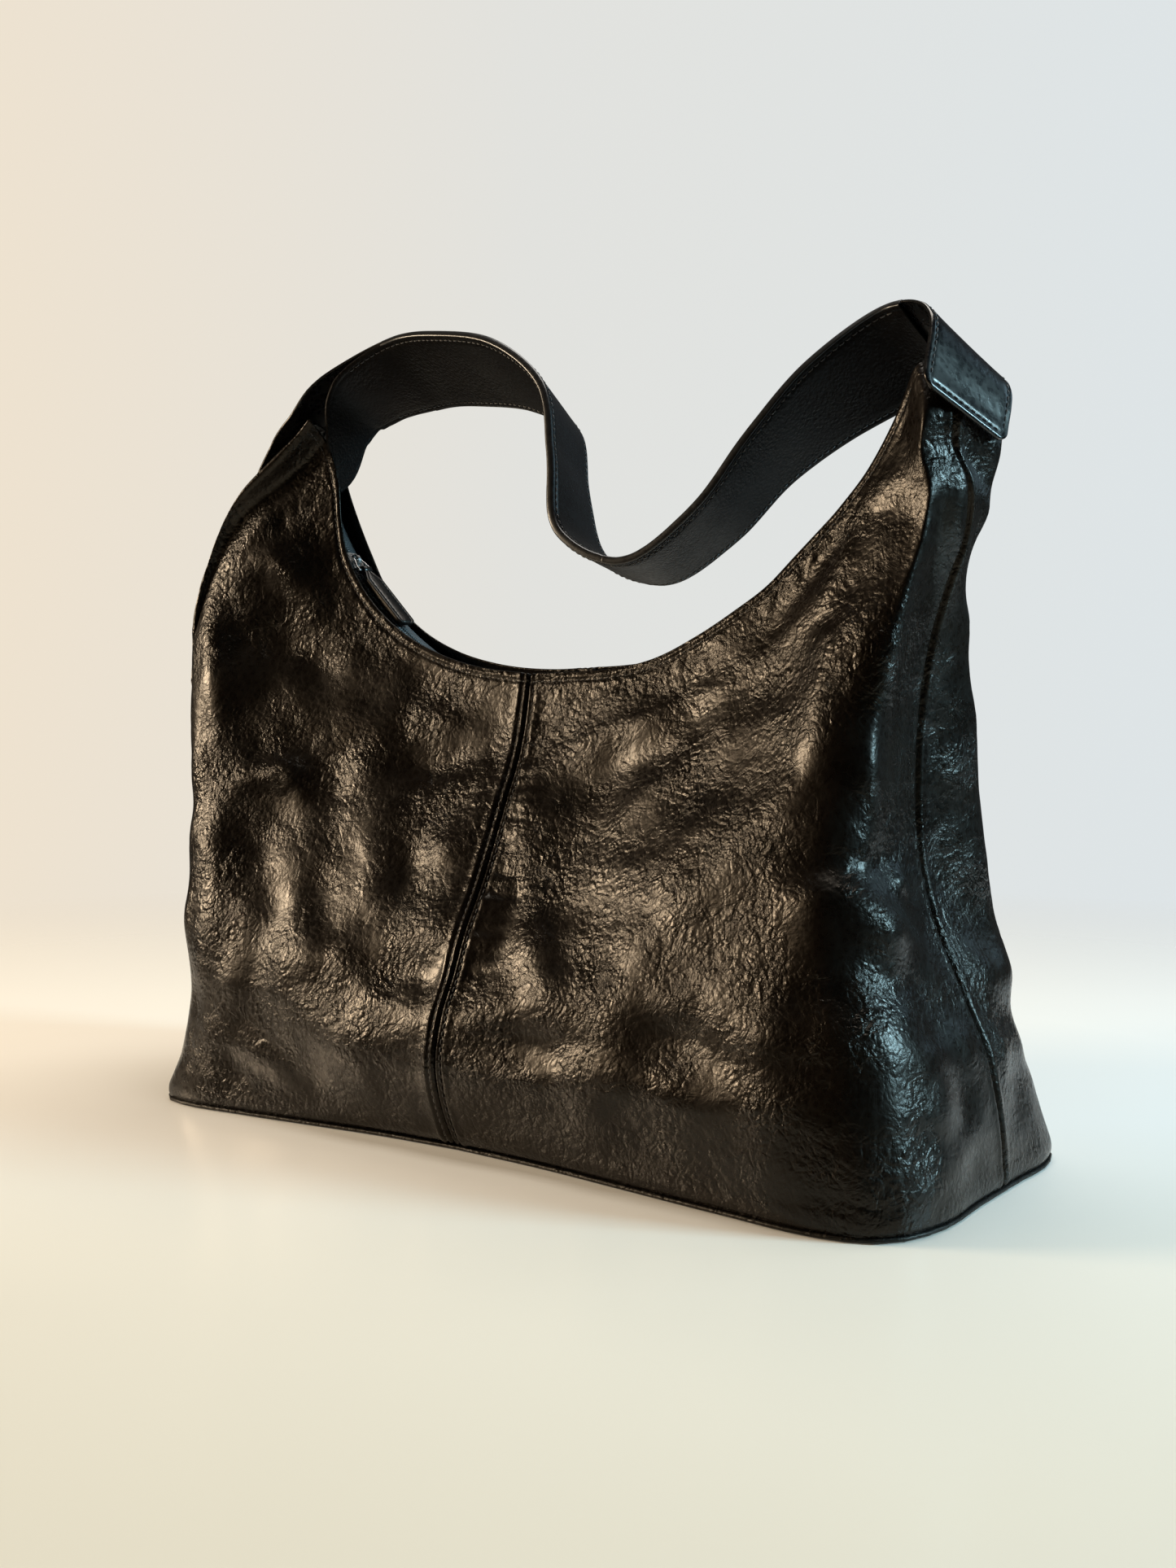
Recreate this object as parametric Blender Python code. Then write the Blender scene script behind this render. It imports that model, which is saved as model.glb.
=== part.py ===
"""Hobo shoulder bag in glazed leather: four sewn panels, flat base, zipped crescent mouth,
one flat two-layer shoulder strap sewn to the two raised peaks.

Units: metres in the scene, millimetres in the constants below (MM converts).
X runs along the front towards the right-hand peak, the front faces -Y, Z is up,
and the origin is the middle of the base on the surface the bag stands on.
"""
import math
import bpy
import bmesh
from mathutils import Vector

for ob in list(bpy.data.objects):
    bpy.data.objects.remove(ob, do_unlink=True)

MM = 0.001

# ------------------------------------------------------------------ driving sizes (mm)
PANEL_T = 1.6            # outer leather
LINING_T = 0.8           # textile lining
LINING_GAP = 1.1         # leather to lining
SEAM_GAP = 0.35          # between neighbouring panels at a seam
BASE_T = 1.7             # base leather
BOARD_T = 1.6            # stiffening board in the base
PANEL_Z0 = 2.0           # lower edge of the side panels
NU, NV = 16, 16          # panel grid

STRAP_W = 50.0           # shoulder strap width
LAYER_T = 1.75           # one strap layer
LAYER_GAP = 0.30         # glue line between the two layers
STRAP_BREAK_L = 0.165    # share of the strap route where the free run starts
STRAP_BREAK_R = 0.835    # and where it ends

ZIP_C = (-3.0, 386.0)    # centre of the zip's arc in the XZ plane
ZIP_R = 184.5            # radius of the zip's arc
ZIP_A0, ZIP_A1 = 203.5, 335.0      # arc of the tape, degrees from +X
CHAIN_A0, CHAIN_A1 = 206.5, 332.0  # arc of the teeth
SLIDER_A = 216.6         # where the slider rests
TAPE_IN, TAPE_OUT, TAPE_T = 3.1, 6.2, 0.6
CHAIN_IN, CHAIN_OUT, CHAIN_T = 0.70, 2.75, 2.2

RING_WIRE = 1.25         # pull ring wire
RING_L = 9.0             # bar to bar
TAB_L, TAB_W, TAB_T = 42.0, 12.0, 2.8   # leather zip pull
PULL_RISE = 8.5          # degrees the pull rises from the slider's tangent at rest

# ------------------------------------------------------------------ curves of the body (mm)
FRONT_SEAM = [(-13.3, -75.5, 2), (-13.8, -82, 13), (-14.6, -87.4, 29), (-15.1, -88.7, 41), (-16, -84, 58),
              (-17.2, -70, 87), (-18.6, -51, 119), (-20, -34, 150), (-21.2, -20, 179), (-22.2, -14, 198),
              (-22.8, -10, 214.5)]
BACK_SEAM = [(-2, 77, 2), (-2, 84, 14), (-2, 88, 30), (-2, 88, 44), (-2, 82, 64), (-2, 68, 92), (-2, 50, 124),
             (-2, 34, 155), (-2, 21, 184), (-2, 14, 202), (-2, 10, 217.5)]
SIDE_R = [(209.5, 6, 2), (209, 6, 22), (203, 6, 50), (192, 5.5, 80), (179, 5, 112), (172.5, 4.5, 148), (173, 4, 185),
          (177.5, 4, 220), (187.5, 3, 250), (197, 0, 274), (200, -7, 290), (196, -11, 303), (198, -14, 316),
          (196.5, -6, 329), (192, 3, 340)]
SIDE_L = [(-206, 0, 2), (-205, 0, 20), (-205, 0, 50), (-209, 0, 90), (-217, 0, 135), (-227, 0, 180), (-234, 0, 215),
          (-235, 0, 245), (-230, 0, 270), (-221, 0, 292), (-209, 0, 309), (-194, 0, 324), (-180, 1, 336), (-168, 2, 346)]
# the mouth's lip, as x, z
LIP = [(-161.5, 341), (-156.5, 332), (-152, 318), (-150, 298), (-146, 280.5), (-137, 265), (-125.5, 252), (-108, 238.5),
       (-86, 227.5), (-59, 219.3), (-22.8, 214.5), (1.4, 215), (25, 216), (48, 220), (73.5, 230.5), (92, 240.5),
       (109, 251), (123, 263.5), (136, 275), (148.6, 286), (160, 301), (168.5, 316), (175, 328)]
LIP_Y = 10.0             # half the mouth's width
# round the top of each peak, from the lip to the side seam; key: side, front -1 or back +1
PEAK = {(1, -1): [(179, -17, 334), (184, -16.5, 337), (188.5, -7, 340), (192, 3, 340)],
        (1, 1): [(197, 22, 325), (201, 23, 325.5), (198, 14, 332.5), (192, 3, 340)],
        (-1, -1): [(-161, -20, 349), (-164, -20, 351), (-166, -9, 350), (-168, 2, 346)],
        (-1, 1): [(-175, 16, 329), (-179, 16, 330), (-175, 10, 338), (-168, 2, 346)]}
# outward fullness of each quarter: size, where along it, spread
FULL = {(-1, -1): (13.0, 0.74, 0.28), (-1, 1): (12.0, 0.70, 0.30), (1, -1): (4.0, 0.80, 0.25), (1, 1): (5.0, 0.75, 0.25)}
# local fullness of a quarter: where along it and up it, spreads, push in X and Y
LOCAL = {(-1, -1): [(0.80, 0.20, 0.85, 0.075, -5.5, -4.5), (0.80, 0.22, 0.70, 0.12, -3.0, -2.4), (0.72, 0.25, 0.30, 0.22, 3.4, 2.6),
                    (0.68, 0.25, 0.10, 0.07, 4.5, 3.2)],
         (1, 1): [(0.86, 0.20, 0.775, 0.085, -14.5, -10.5), (0.81, 0.20, 0.655, 0.05, -4.5, -3.2),
                   (0.80, 0.25, 0.14, 0.10, -6.0, -4.4)]}
# the strap's route (mid-surface centre) and the direction across it, near edge to far edge
STRAP = [((-160, -8, 335), (-.20, .82, -.53)), ((-150, 6, 363), (-.13, .91, -.39)), ((-117, 12, 375), (.03, .82, -.57)),
         ((-79, 8, 372), (-.02, .81, -.58)), ((-43, 5, 363), (-.11, .85, -.52)), ((-13, 1, 342.5), (-.22, .92, -.34)),
         ((-1.5, -7, 308), (-.25, .93, -.28)), ((11.5, -14, 274), (-.13, .97, -.20)), ((45, -12, 260), (-.13, .985, -.11)),
         ((78, -5, 279.5), (-.14, .975, -.16)), ((102, 4.5, 309), (-.08, .96, -.27)), ((129.5, 14, 334), (.07, .87, -.48)),
         ((164.5, 20, 351), (.20, .75, -.63)), ((194, 4, 344), (.35, .78, -.52)), ((200, -13, 314), (.34, .83, -.44))]


# ------------------------------------------------------------------ small helpers
def smooth(t):
    t = min(1.0, max(0.0, t))
    return t * t * (3 - 2 * t)


def route(pts, knots=None):
    """Smooth curve through points; returns f(t), t in 0..1."""
    pts = [Vector(p) for p in pts]
    n = len(pts)
    if knots is None:
        knots = [0.0]
        for a, b in zip(pts, pts[1:]):
            knots.append(knots[-1] + (b - a).length)
    total = knots[-1]
    knots = [k / total for k in knots]
    tan = []
    for i in range(n):
        if i == 0:
            m = (pts[1] - pts[0]) / (knots[1] - knots[0])
        elif i == n - 1:
            m = (pts[-1] - pts[-2]) / (knots[-1] - knots[-2])
        else:
            h0, h1 = knots[i] - knots[i - 1], knots[i + 1] - knots[i]
            m = ((pts[i] - pts[i - 1]) / h0 * h1 + (pts[i + 1] - pts[i]) / h1 * h0) / (h0 + h1)
        tan.append(m)

    def f(t):
        t = min(1.0, max(0.0, t))
        i = 0
        while i < n - 2 and t > knots[i + 1]:
            i += 1
        h = knots[i + 1] - knots[i]
        s = (t - knots[i]) / h
        return (pts[i] * (2 * s ** 3 - 3 * s * s + 1) + tan[i] * (h * (s ** 3 - 2 * s * s + s))
                + pts[i + 1] * (-2 * s ** 3 + 3 * s * s) + tan[i + 1] * (h * (s ** 3 - s * s)))
    return f


def material(name, rgb, rough, metal=0.0):
    m = bpy.data.materials.new(name)
    m.use_nodes = True
    b = m.node_tree.nodes["Principled BSDF"]
    b.inputs["Base Color"].default_value = (*rgb, 1.0)
    b.inputs["Roughness"].default_value = rough
    b.inputs["Metallic"].default_value = metal
    m.diffuse_color = (*rgb, 1.0)
    return m


def add_object(name, verts, faces, mat, smooth_angle=35.0, parent=None, origin=(0, 0, 0)):
    """verts in mm, world frame; the object's origin is put at `origin` (mm)."""
    o = Vector(origin)
    me = bpy.data.meshes.new(name)
    me.from_pydata([tuple((Vector(v) - o) * MM) for v in verts], [], faces)
    bm = bmesh.new()
    bm.from_mesh(me)
    bmesh.ops.recalc_face_normals(bm, faces=bm.faces)
    if bm.calc_volume(signed=True) < 0:
        bmesh.ops.reverse_faces(bm, faces=bm.faces)
    bm.to_mesh(me)
    bm.free()
    me.shade_smooth()
    me.set_sharp_from_angle(angle=math.radians(smooth_angle))
    me.materials.append(mat)
    ob = bpy.data.objects.new(name, me)
    bpy.context.collection.objects.link(ob)
    if parent is None:
        ob.location = o * MM
    else:
        ob.parent = parent
        ob.location = o * MM - parent.location
    return ob


def slab_grid(name, outer, inner, mat, mirror_cols=0, **kw):
    """Closed sheet from two equal grids of points; every cell is cut along the same diagonal on both faces, so that
    sheets lying on one another keep their gap. The first `mirror_cols` columns of cells use the other diagonal."""
    r, c = len(outer), len(outer[0])
    verts = [p for row in outer for p in row] + [p for row in inner for p in row]
    off = r * c
    faces = []
    for i in range(r - 1):
        for j in range(c - 1):
            a, b, d, e = i * c + j, i * c + j + 1, (i + 1) * c + j + 1, (i + 1) * c + j
            tris = ((a, b, e), (b, d, e)) if j < mirror_cols else ((a, b, d), (a, d, e))
            for t in tris:
                faces.append(t)
                faces.append(tuple(off + k for k in t[::-1]))
    for j in range(c - 1):
        faces.append((j + 1, j, off + j, off + j + 1))
        k = (r - 1) * c
        faces.append((k + j, k + j + 1, off + k + j + 1, off + k + j))
    for i in range(r - 1):
        a, b = i * c, (i + 1) * c
        faces.append((a, b, off + b, off + a))
        a, b = i * c + c - 1, (i + 1) * c + c - 1
        faces.append((b, a, off + a, off + b))
    return add_object(name, verts, faces, mat, **kw)


def sweep(name, rings, mat, **kw):
    """Closed solid from a row of equal polygons, capped at both ends."""
    n = len(rings[0])
    verts = [p for ring in rings for p in ring]
    faces = [tuple(range(n - 1, -1, -1)), tuple(range((len(rings) - 1) * n, len(rings) * n))]
    for i in range(len(rings) - 1):
        for j in range(n):
            a, b = i * n + j, i * n + (j + 1) % n
            faces.append((a, b, b + n, a + n))
    return add_object(name, verts, faces, mat, **kw)


# ------------------------------------------------------------------ materials
LEATHER = material("glazed_leather", (0.028, 0.022, 0.019), 0.28)
LEATHER_BASE = material("base_leather", (0.026, 0.021, 0.018), 0.34)
STRAP_OUT = material("strap_leather", (0.018, 0.018, 0.020), 0.22)
STRAP_IN = material("strap_backing_leather", (0.022, 0.022, 0.026), 0.42)
LINING = material("lining_cloth", (0.060, 0.050, 0.042), 0.85)
BOARD = material("stiffener_board", (0.30, 0.25, 0.20), 0.80)
TAPE = material("zip_tape_cloth", (0.020, 0.019, 0.018), 0.80)
COIL = material("zip_coil", (0.16, 0.15, 0.14), 0.35)
METAL = material("zip_metal", (0.55, 0.53, 0.50), 0.25, 1.0)
PULL = material("pull_leather", (0.015, 0.014, 0.014), 0.25)


# ------------------------------------------------------------------ body surface
def base_edge(side, fb):
    """Quarter of the base outline, centre seam to side seam."""
    ax, r = (209.5 if side > 0 else 206.0), (22.0 if side < 0 and fb < 0 else 30.0)
    yc, ye = (75.5 if fb < 0 else 77.0), (90.5 if fb < 0 else 87.5)
    x0 = -13.3 if fb < 0 else -2.0
    y_side = 6.0 if side > 0 else 0.0
    xe = side * (ax - r)
    pts = []
    for k in range(5):
        x = x0 + (xe - x0) * k / 4
        pts.append((x, fb * (yc + (ye - yc) * smooth(abs(x - x0) / abs(xe - x0))), PANEL_Z0))
    for a in (30, 60):
        a = math.radians(a)
        pts.append((xe + side * r * math.sin(a) * 0.93, fb * (ye - r * (1 - math.cos(a)) * 0.95), PANEL_Z0))
    pts.append((side * (ax + 0.3), fb * (ye - r * 1.15), PANEL_Z0))
    pts.append((side * ax, (fb * (ye - r * 1.6) + y_side) * 0.5, PANEL_Z0))
    pts.append((side * ax, y_side, PANEL_Z0))
    return route(pts)


def lip_edge(side, fb):
    """Upper boundary of a quarter: lip from the centre seam to the peak, then round the peak's top."""
    x0, z0 = (-22.8, 214.5) if fb < 0 else (-2.0, 217.5)
    src = [p for p in LIP if side * p[0] > side * x0 + 12]
    if side < 0:
        src = src[::-1]
    pts = [(x0, fb * LIP_Y, z0)]
    for x, z in src:
        lift = 3.0 * (1 - smooth(abs(x) / 120)) if fb > 0 else 0.0   # the back lip stands slightly higher
        turn = side * 12.0 * smooth((z - 280) / 40) if fb > 0 else 0.0   # the peaks turn: their back edge stands further out
        pts.append((x + turn, fb * LIP_Y, z + lift))
    pts += PEAK[(side, fb)]
    kn = [0.0]
    for a, b in zip(pts[:-4], pts[1:-3]):
        kn.append(kn[-1] + (Vector(b) - Vector(a)).length)
    kn = [0.80 * k / kn[-1] for k in kn] + [0.87, 0.93, 1.0]
    return route(pts, kn)


class Quarter:
    """One of the body's four quarters: P(u, v), u from the centre seam to the side seam, v from base to top."""

    def __init__(self, side, fb):
        self.side, self.fb = side, fb
        self.B, self.M = base_edge(side, fb), lip_edge(side, fb)
        self.F = route(FRONT_SEAM if fb < 0 else BACK_SEAM)
        self.S = route(SIDE_R if side > 0 else SIDE_L)
        self.c = (self.B(0), self.B(1), self.M(0), self.M(1))
        self.seen = {}

    def P(self, u, v):
        b0, b1, m0, m1 = self.c
        ruled = self.B(u) * (1 - v) + self.M(u) * v
        df = self.F(v) - (b0 * (1 - v) + m0 * v)             # how far each seam leaves the straight line
        ds = self.S(v) - (b1 * (1 - v) + m1 * v)
        ds.y *= u ** 4                                       # the side seam's sway dies out quickly
        amp, u0, w = FULL[(self.side, self.fb)]
        g = amp * math.exp(-((u - u0) / w) ** 2) * smooth(u / 0.25) * smooth((1 - u) / 0.30) \
            * smooth(v / 0.55) * smooth((1 - v) / 0.28)
        push = Vector((self.side * 0.8 * g, self.fb * 0.6 * g, 0))
        ends = smooth(u / 0.25) * smooth((1 - u) / 0.14) * smooth(v / 0.06) * smooth((1 - v) / 0.06)
        for a, wa, b, wb, dx, dy in LOCAL.get((self.side, self.fb), ()):
            k = ends * math.exp(-((u - a) / wa) ** 2 - ((v - b) / wb) ** 2)
            push += Vector((dx * k, dy * k, 0))
        return ruled + df * (1 - u) + ds * u + push

    def raw(self, u, v, eu=0.05, ev=0.03):
        dv = self.P(u, min(1, v + ev)) - self.P(u, max(0, v - ev))
        du = self.P(min(1, u + eu), v) - self.P(max(0, u - eu), v)
        return (du.cross(dv) * (-1 if self.side * self.fb > 0 else 1)).normalized()

    def N(self, u, v):
        """Outward direction of the leather's thickness: level along the base, square to the seams' planes."""
        if (u, v) in self.seen:
            return self.seen[(u, v)]
        if u < 1e-6 or u > 1 - 1e-6:
            t = (self.P(u, min(1, v + 0.01)) - self.P(u, max(0, v - 0.01))).normalized()
            n = Vector((0, self.fb, 0)) if u < 0.5 else Vector((self.side, 0, 0))
            n = n - t * n.dot(t)
        else:
            n = Vector((0, 0, 0))
            for i in (-1, 0, 1):
                for j in (-1, 0, 1):
                    n += self.raw(min(0.98, max(0.02, u + 0.035 * i)), min(0.99, max(0.01, v + 0.03 * j)))
        if v < 0.04:
            n.z *= v / 0.04
        self.seen[(u, v)] = n.normalized()
        return self.seen[(u, v)]


QUARTERS = {(s, f): Quarter(s, f) for s in (-1, 1) for f in (-1, 1)}


def steps(n, lo=0.0, hi=1.0):
    return [lo + (hi - lo) * i / n for i in range(n + 1)]


US = steps(NU - 4, 0, 0.80)[:-1] + steps(4, 0.80, 1.0)     # columns shared by panels and linings


def panel(name, side, fb):
    q = QUARTERS[(side, fb)]
    us = US
    outer, inner = [], []
    for v in steps(NV):
        ro, ri = [], []
        for u in us:
            p, n = q.P(u, v), q.N(u, v)
            if u == 0 or u == 1:                       # keep the seam gap
                w = Vector((side, 0, 0)) if u == 0 else Vector((0, q.fb, 0))
                p = p + w * SEAM_GAP / 2
            ro.append(p)
            ri.append(p - n * PANEL_T)
        outer.append(ro)
        inner.append(ri)
    return slab_grid(name, outer, inner, LEATHER, smooth_angle=50)


panel("front_left_panel", -1, -1)
panel("front_right_panel", 1, -1)
panel("back_left_panel", -1, 1)
panel("back_right_panel", 1, 1)


def on_panel(q, u, v, depth):
    """A point `depth` inside the panel's outer face, level with the straight line between the panel's own rows."""
    i = min(NV - 1, int(v * NV + 1e-9))
    v0, v1 = i / NV, (i + 1) / NV
    k = (v - v0) * NV
    return (q.P(u, v0) - q.N(u, v0) * depth) * (1 - k) + (q.P(u, v1) - q.N(u, v1) * depth) * k


def liner(name, fb, rows, u_end, mat, thick=LINING_T, gap=LINING_GAP):
    """A sheet lying inside both quarters of the front or back, at the given heights and out to u_end each way."""
    d0 = PANEL_T + gap
    us = [u for u in US if u <= u_end]
    cols = [(-1, u) for u in us[::-1]] + [(1, u) for u in us[1:]]
    outer, inner = [], []
    for v in rows:
        ro, ri = [], []
        for side, u in cols:
            q = QUARTERS[(side, fb)]
            w = Vector((0, fb, 0)) * (SEAM_GAP / 2 if u > 0.999 else 0)
            slack = 3.2 * math.sin(math.pi * (u - 0.7) / 0.3) if u > 0.7 else 0.0     # loose in the folded corners
            ro.append(on_panel(q, u, v, d0 + slack) + w)
            ri.append(on_panel(q, u, v, d0 + slack + thick) + w)
        outer.append(ro)
        inner.append(ri)
    return slab_grid(name, outer, inner, mat, mirror_cols=len(us) - 1, smooth_angle=60)


LINING_ROWS = [0.047] + [i / NV for i in range(2, 14)]
FACING_ROWS = [0.825, 0.875, 0.9375, 0.975]
liner("lining_front", -1, LINING_ROWS, 1.0, LINING)
liner("lining_back", 1, LINING_ROWS, 1.0, LINING)
liner("mouth_facing_front", -1, FACING_ROWS, 0.72, LEATHER_BASE, gap=0.45)
liner("mouth_facing_back", 1, FACING_ROWS, 0.72, LEATHER_BASE, gap=0.45)


def outline(inset, n=14):
    pts = []
    for side, fb, rev in ((-1, -1, True), (1, -1, False), (1, 1, True), (-1, 1, False)):
        b = base_edge(side, fb)
        row = [b(t) for t in steps(n)]
        if rev:
            row = row[::-1]
        pts += row[:-1] if (pts and (row[-1] - pts[0]).length < 1e-6) else row[:]
    # drop repeats where quarters meet
    out = []
    for p in pts:
        if not out or (p - out[-1]).length > 0.5:
            out.append(p)
    if (out[0] - out[-1]).length < 0.5:
        out.pop()
    res = []
    m = len(out)
    for i, p in enumerate(out):
        t = (out[(i + 1) % m] - out[i - 1])
        nrm = Vector((-t.y, t.x, 0)).normalized()       # inward for a counter-clockwise outline
        res.append(p + nrm * inset)
    return res


def plate(name, inset, z0, z1, mat):
    o = outline(inset)
    return sweep(name, [[(p.x, p.y, z0) for p in o], [(p.x, p.y, z1) for p in o]], mat, smooth_angle=40)


plate("base_panel", 0.0, 0.0, BASE_T, LEATHER_BASE)
plate("base_board", 4.5, BASE_T + 0.3, BASE_T + 0.3 + BOARD_T, BOARD)
plate("base_lining", 4.2, BASE_T + 0.6 + BOARD_T, BASE_T + 0.6 + BOARD_T + 0.7, LINING)


# ------------------------------------------------------------------ zip
def arc_frame(deg):
    """Point on the zip's arc, its tangent (towards the right-hand end) and its inward normal."""
    a = math.radians(deg)
    out = Vector((math.cos(a), 0, math.sin(a)))
    return Vector((ZIP_C[0], 0, ZIP_C[1])) + out * ZIP_R, Vector((-math.sin(a), 0, math.cos(a))), -out


def arc_bar(name, a0, a1, n, section, mat):
    """Sweep a section, given as (y, inward height) pairs, along the arc."""
    rings = []
    for k in steps(n, a0, a1):
        p, t, up = arc_frame(k)
        rings.append([p + Vector((0, y, 0)) + up * h for y, h in section])
    return sweep(name, rings, mat, smooth_angle=30)


def rect(y0, y1, h0, h1):
    return [(y0, h0), (y1, h0), (y1, h1), (y0, h1)]


for fb, word in ((-1, "front"), (1, "back")):
    arc_bar("zip_tape_" + word, ZIP_A0, ZIP_A1, 30, rect(fb * TAPE_IN, fb * TAPE_OUT, -TAPE_T / 2, TAPE_T / 2), TAPE)
    arc_bar("zip_chain_" + word, CHAIN_A0, CHAIN_A1, 30,
            [(fb * CHAIN_IN, -0.55), (fb * 1.2, -CHAIN_T / 2), (fb * 2.3, -CHAIN_T / 2), (fb * CHAIN_OUT, -0.5),
             (fb * CHAIN_OUT, 0.5), (fb * 2.3, CHAIN_T / 2), (fb * 1.2, CHAIN_T / 2), (fb * CHAIN_IN, 0.55)], COIL)
for word, a0, a1 in (("left", ZIP_A0 + 0.1, CHAIN_A0 - 0.4), ("right", CHAIN_A1 + 0.4, ZIP_A1 - 0.1)):
    arc_bar("zip_end_tab_" + word, a0, a1, 3, rect(-6.0, 6.0, TAPE_T / 2 + 0.3, TAPE_T / 2 + 1.5), PULL)

slider_pt, slider_t, slider_up = arc_frame(SLIDER_A)
centre_empty = bpy.data.objects.new("zip_arc_centre", None)
centre_empty.location = Vector((ZIP_C[0], 0, ZIP_C[1])) * MM
bpy.context.collection.objects.link(centre_empty)


def at_slider(t, y, h):
    """Local slider coordinates: t along the tangent, y across, h towards the arc's centre."""
    return slider_pt + slider_t * t + Vector((0, y, 0)) + slider_up * h


def slider_h(t):
    """The arc's own rise at a distance t from the slider's middle."""
    return ZIP_R - math.sqrt(ZIP_R ** 2 - t * t)


# I-shaped section: web between the two chains, a plate above and a plate below, lips turned towards the tape
half = [(0.35, 1.45), (3.55, 1.45), (3.55, 0.75), (4.35, 0.75), (4.35, 2.75), (0.0, 2.75)]
prof = [(y, h) for y, h in half] + [(-y, h) for y, h in half[-2::-1]]
prof += [(-y, -h) for y, h in half] + [(y, -h) for y, h in half[-2::-1]]
rings = []
for k in steps(4, -5.2, 5.2):
    w = 1.0 - 0.16 * smooth(abs(k) / 5.2) ** 2
    rings.append([at_slider(k, y * (w if abs(y) > 4 else 1.0), h + slider_h(k)) for y, h in prof])
slider = sweep("zip_slider", rings, METAL, smooth_angle=30)

# bridge on the slider's top plate: an arch along the zip, wide enough for the ring's bar
BAR_H = 2.75 + 1.15      # height of the ring's bar over the arc
arch = []
for a in steps(10, 0, 180):
    r = math.radians(a)
    arch.append((3.3 * math.cos(r), 2.3 + 3.6 * math.sin(r) ** 0.8, 2.2 * math.cos(r), 2.3 + 2.5 * math.sin(r) ** 0.8))
verts, faces = [], []
for yy in (-1.0, 1.0):
    for to, ho, ti, hi in arch:
        verts += [at_slider(to, yy, ho), at_slider(ti, yy, hi)]
m = len(arch)
for i in range(m - 1):
    a, b, c, d = 2 * i, 2 * i + 1, 2 * i + 3, 2 * i + 2
    faces += [(a, b, c, d), (2 * m + d, 2 * m + c, 2 * m + b, 2 * m + a), (a, d, 2 * m + d, 2 * m + a),
              (b, 2 * m + b, 2 * m + c, c)]
faces += [(0, 2 * m, 2 * m + 1, 1), (2 * m - 2, 2 * m - 1, 4 * m - 1, 4 * m - 2)]
bridge = add_object("bridge_cutter", verts, faces, METAL)
bridge.hide_render = True
bridge.display_type = 'WIRE'
uni = slider.modifiers.new("bridge", 'BOOLEAN')
uni.operation = 'UNION'
uni.object = bridge
for ob in (slider, bridge):
    ob.parent = centre_empty
    ob.location = -centre_empty.location

# pull ring: closed loop of wire through the bridge, wider at the leather's end
rise = math.radians(PULL_RISE)
pull_t = slider_t * math.cos(rise) + slider_up * math.sin(rise)
pull_up = slider_up * math.cos(rise) - slider_t * math.sin(rise)
eye = at_slider(0, 0, BAR_H)
loop = [(0, -1.9), (0, 0), (0, 1.9), (0.7, 2.6), (2.2, 3.1), (4.6, 4.0), (7.6, 4.9), (8.7, 4.6), (RING_L, 3.9), (RING_L, 0),
        (RING_L, -3.9), (8.7, -4.6), (7.6, -4.9), (4.6, -4.0), (2.2, -3.1), (0.7, -2.6)]
pts = [eye + pull_t * a + Vector((0, b, 0)) for a, b in loop]
rings = []
for i, p in enumerate(pts):
    t = (pts[(i + 1) % len(pts)] - pts[i - 1]).normalized()
    s = t.cross(pull_up).normalized()
    rings.append([p + (s * math.cos(a) + pull_up * math.sin(a)) * RING_WIRE / 2
                  for a in [2 * math.pi * k / 8 for k in range(8)]])
verts = [p for r in rings for p in r]
faces = []
for i in range(len(rings)):
    j = (i + 1) % len(rings)
    for k in range(8):
        l = (k + 1) % 8
        faces.append((i * 8 + k, i * 8 + l, j * 8 + l, j * 8 + k))
ring_empty = bpy.data.objects.new("ring_axis", None)
ring_empty.location = eye * MM
bpy.context.collection.objects.link(ring_empty)
add_object("zip_pull_ring", verts, faces, METAL, parent=ring_empty, origin=tuple(eye))

# leather pull: two thicknesses stitched together, folded round the ring's far bar
tab_eye = eye + pull_t * RING_L
tab_empty = bpy.data.objects.new("tab_axis", None)
tab_empty.location = tab_eye * MM
bpy.context.collection.objects.link(tab_empty)
loop_out, loop_in = 2.35, 1.05
outer_pts, hole_pts = [], []
for a in range(45, 316, 30):
    r = math.radians(a)
    outer_pts.append((loop_out * math.cos(r), loop_out * math.sin(r)))
tail = [(4.2, -TAB_T / 2), (10, -TAB_T / 2), (22, -TAB_T / 2), (34, -TAB_T / 2), (TAB_L - 3, -TAB_T / 2), (TAB_L, -TAB_T / 2 + 0.5),
        (TAB_L, TAB_T / 2 - 0.5), (TAB_L - 3, TAB_T / 2), (34, TAB_T / 2), (22, TAB_T / 2), (10, TAB_T / 2), (4.2, TAB_T / 2)]
outl = outer_pts + tail                            # counter-clockwise from the loop's upper side
for a in steps(11, 0, 330):
    r = math.radians(a)
    hole_pts.append((loop_in * math.cos(r), loop_in * math.sin(r)))


def tab_half_width(a):
    w = 3.1 + (TAB_W / 2 - 3.1) * smooth((a - 2.0) / 7.0)
    if a > TAB_L - 3.5:
        w -= 1.6 * smooth((a - (TAB_L - 3.5)) / 3.5)
    return w


bm = bmesh.new()
lo = [bm.verts.new((tab_eye + pull_t * a + pull_up * h + Vector((0, -tab_half_width(a), 0))) - tab_eye) for a, h in outl]
hi_ = [bm.verts.new((tab_eye + pull_t * a + pull_up * h + Vector((0, tab_half_width(a), 0))) - tab_eye) for a, h in outl]
hl = [bm.verts.new((pull_t * a + pull_up * h + Vector((0, -tab_half_width(0), 0)))) for a, h in hole_pts]
hh = [bm.verts.new((pull_t * a + pull_up * h + Vector((0, tab_half_width(0), 0)))) for a, h in hole_pts]
n_o, n_h = len(outl), len(hole_pts)
for i in range(n_o):
    bm.faces.new((lo[i], lo[(i + 1) % n_o], hi_[(i + 1) % n_o], hi_[i]))
for i in range(n_h):
    bm.faces.new((hl[(i + 1) % n_h], hl[i], hh[i], hh[(i + 1) % n_h]))
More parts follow.
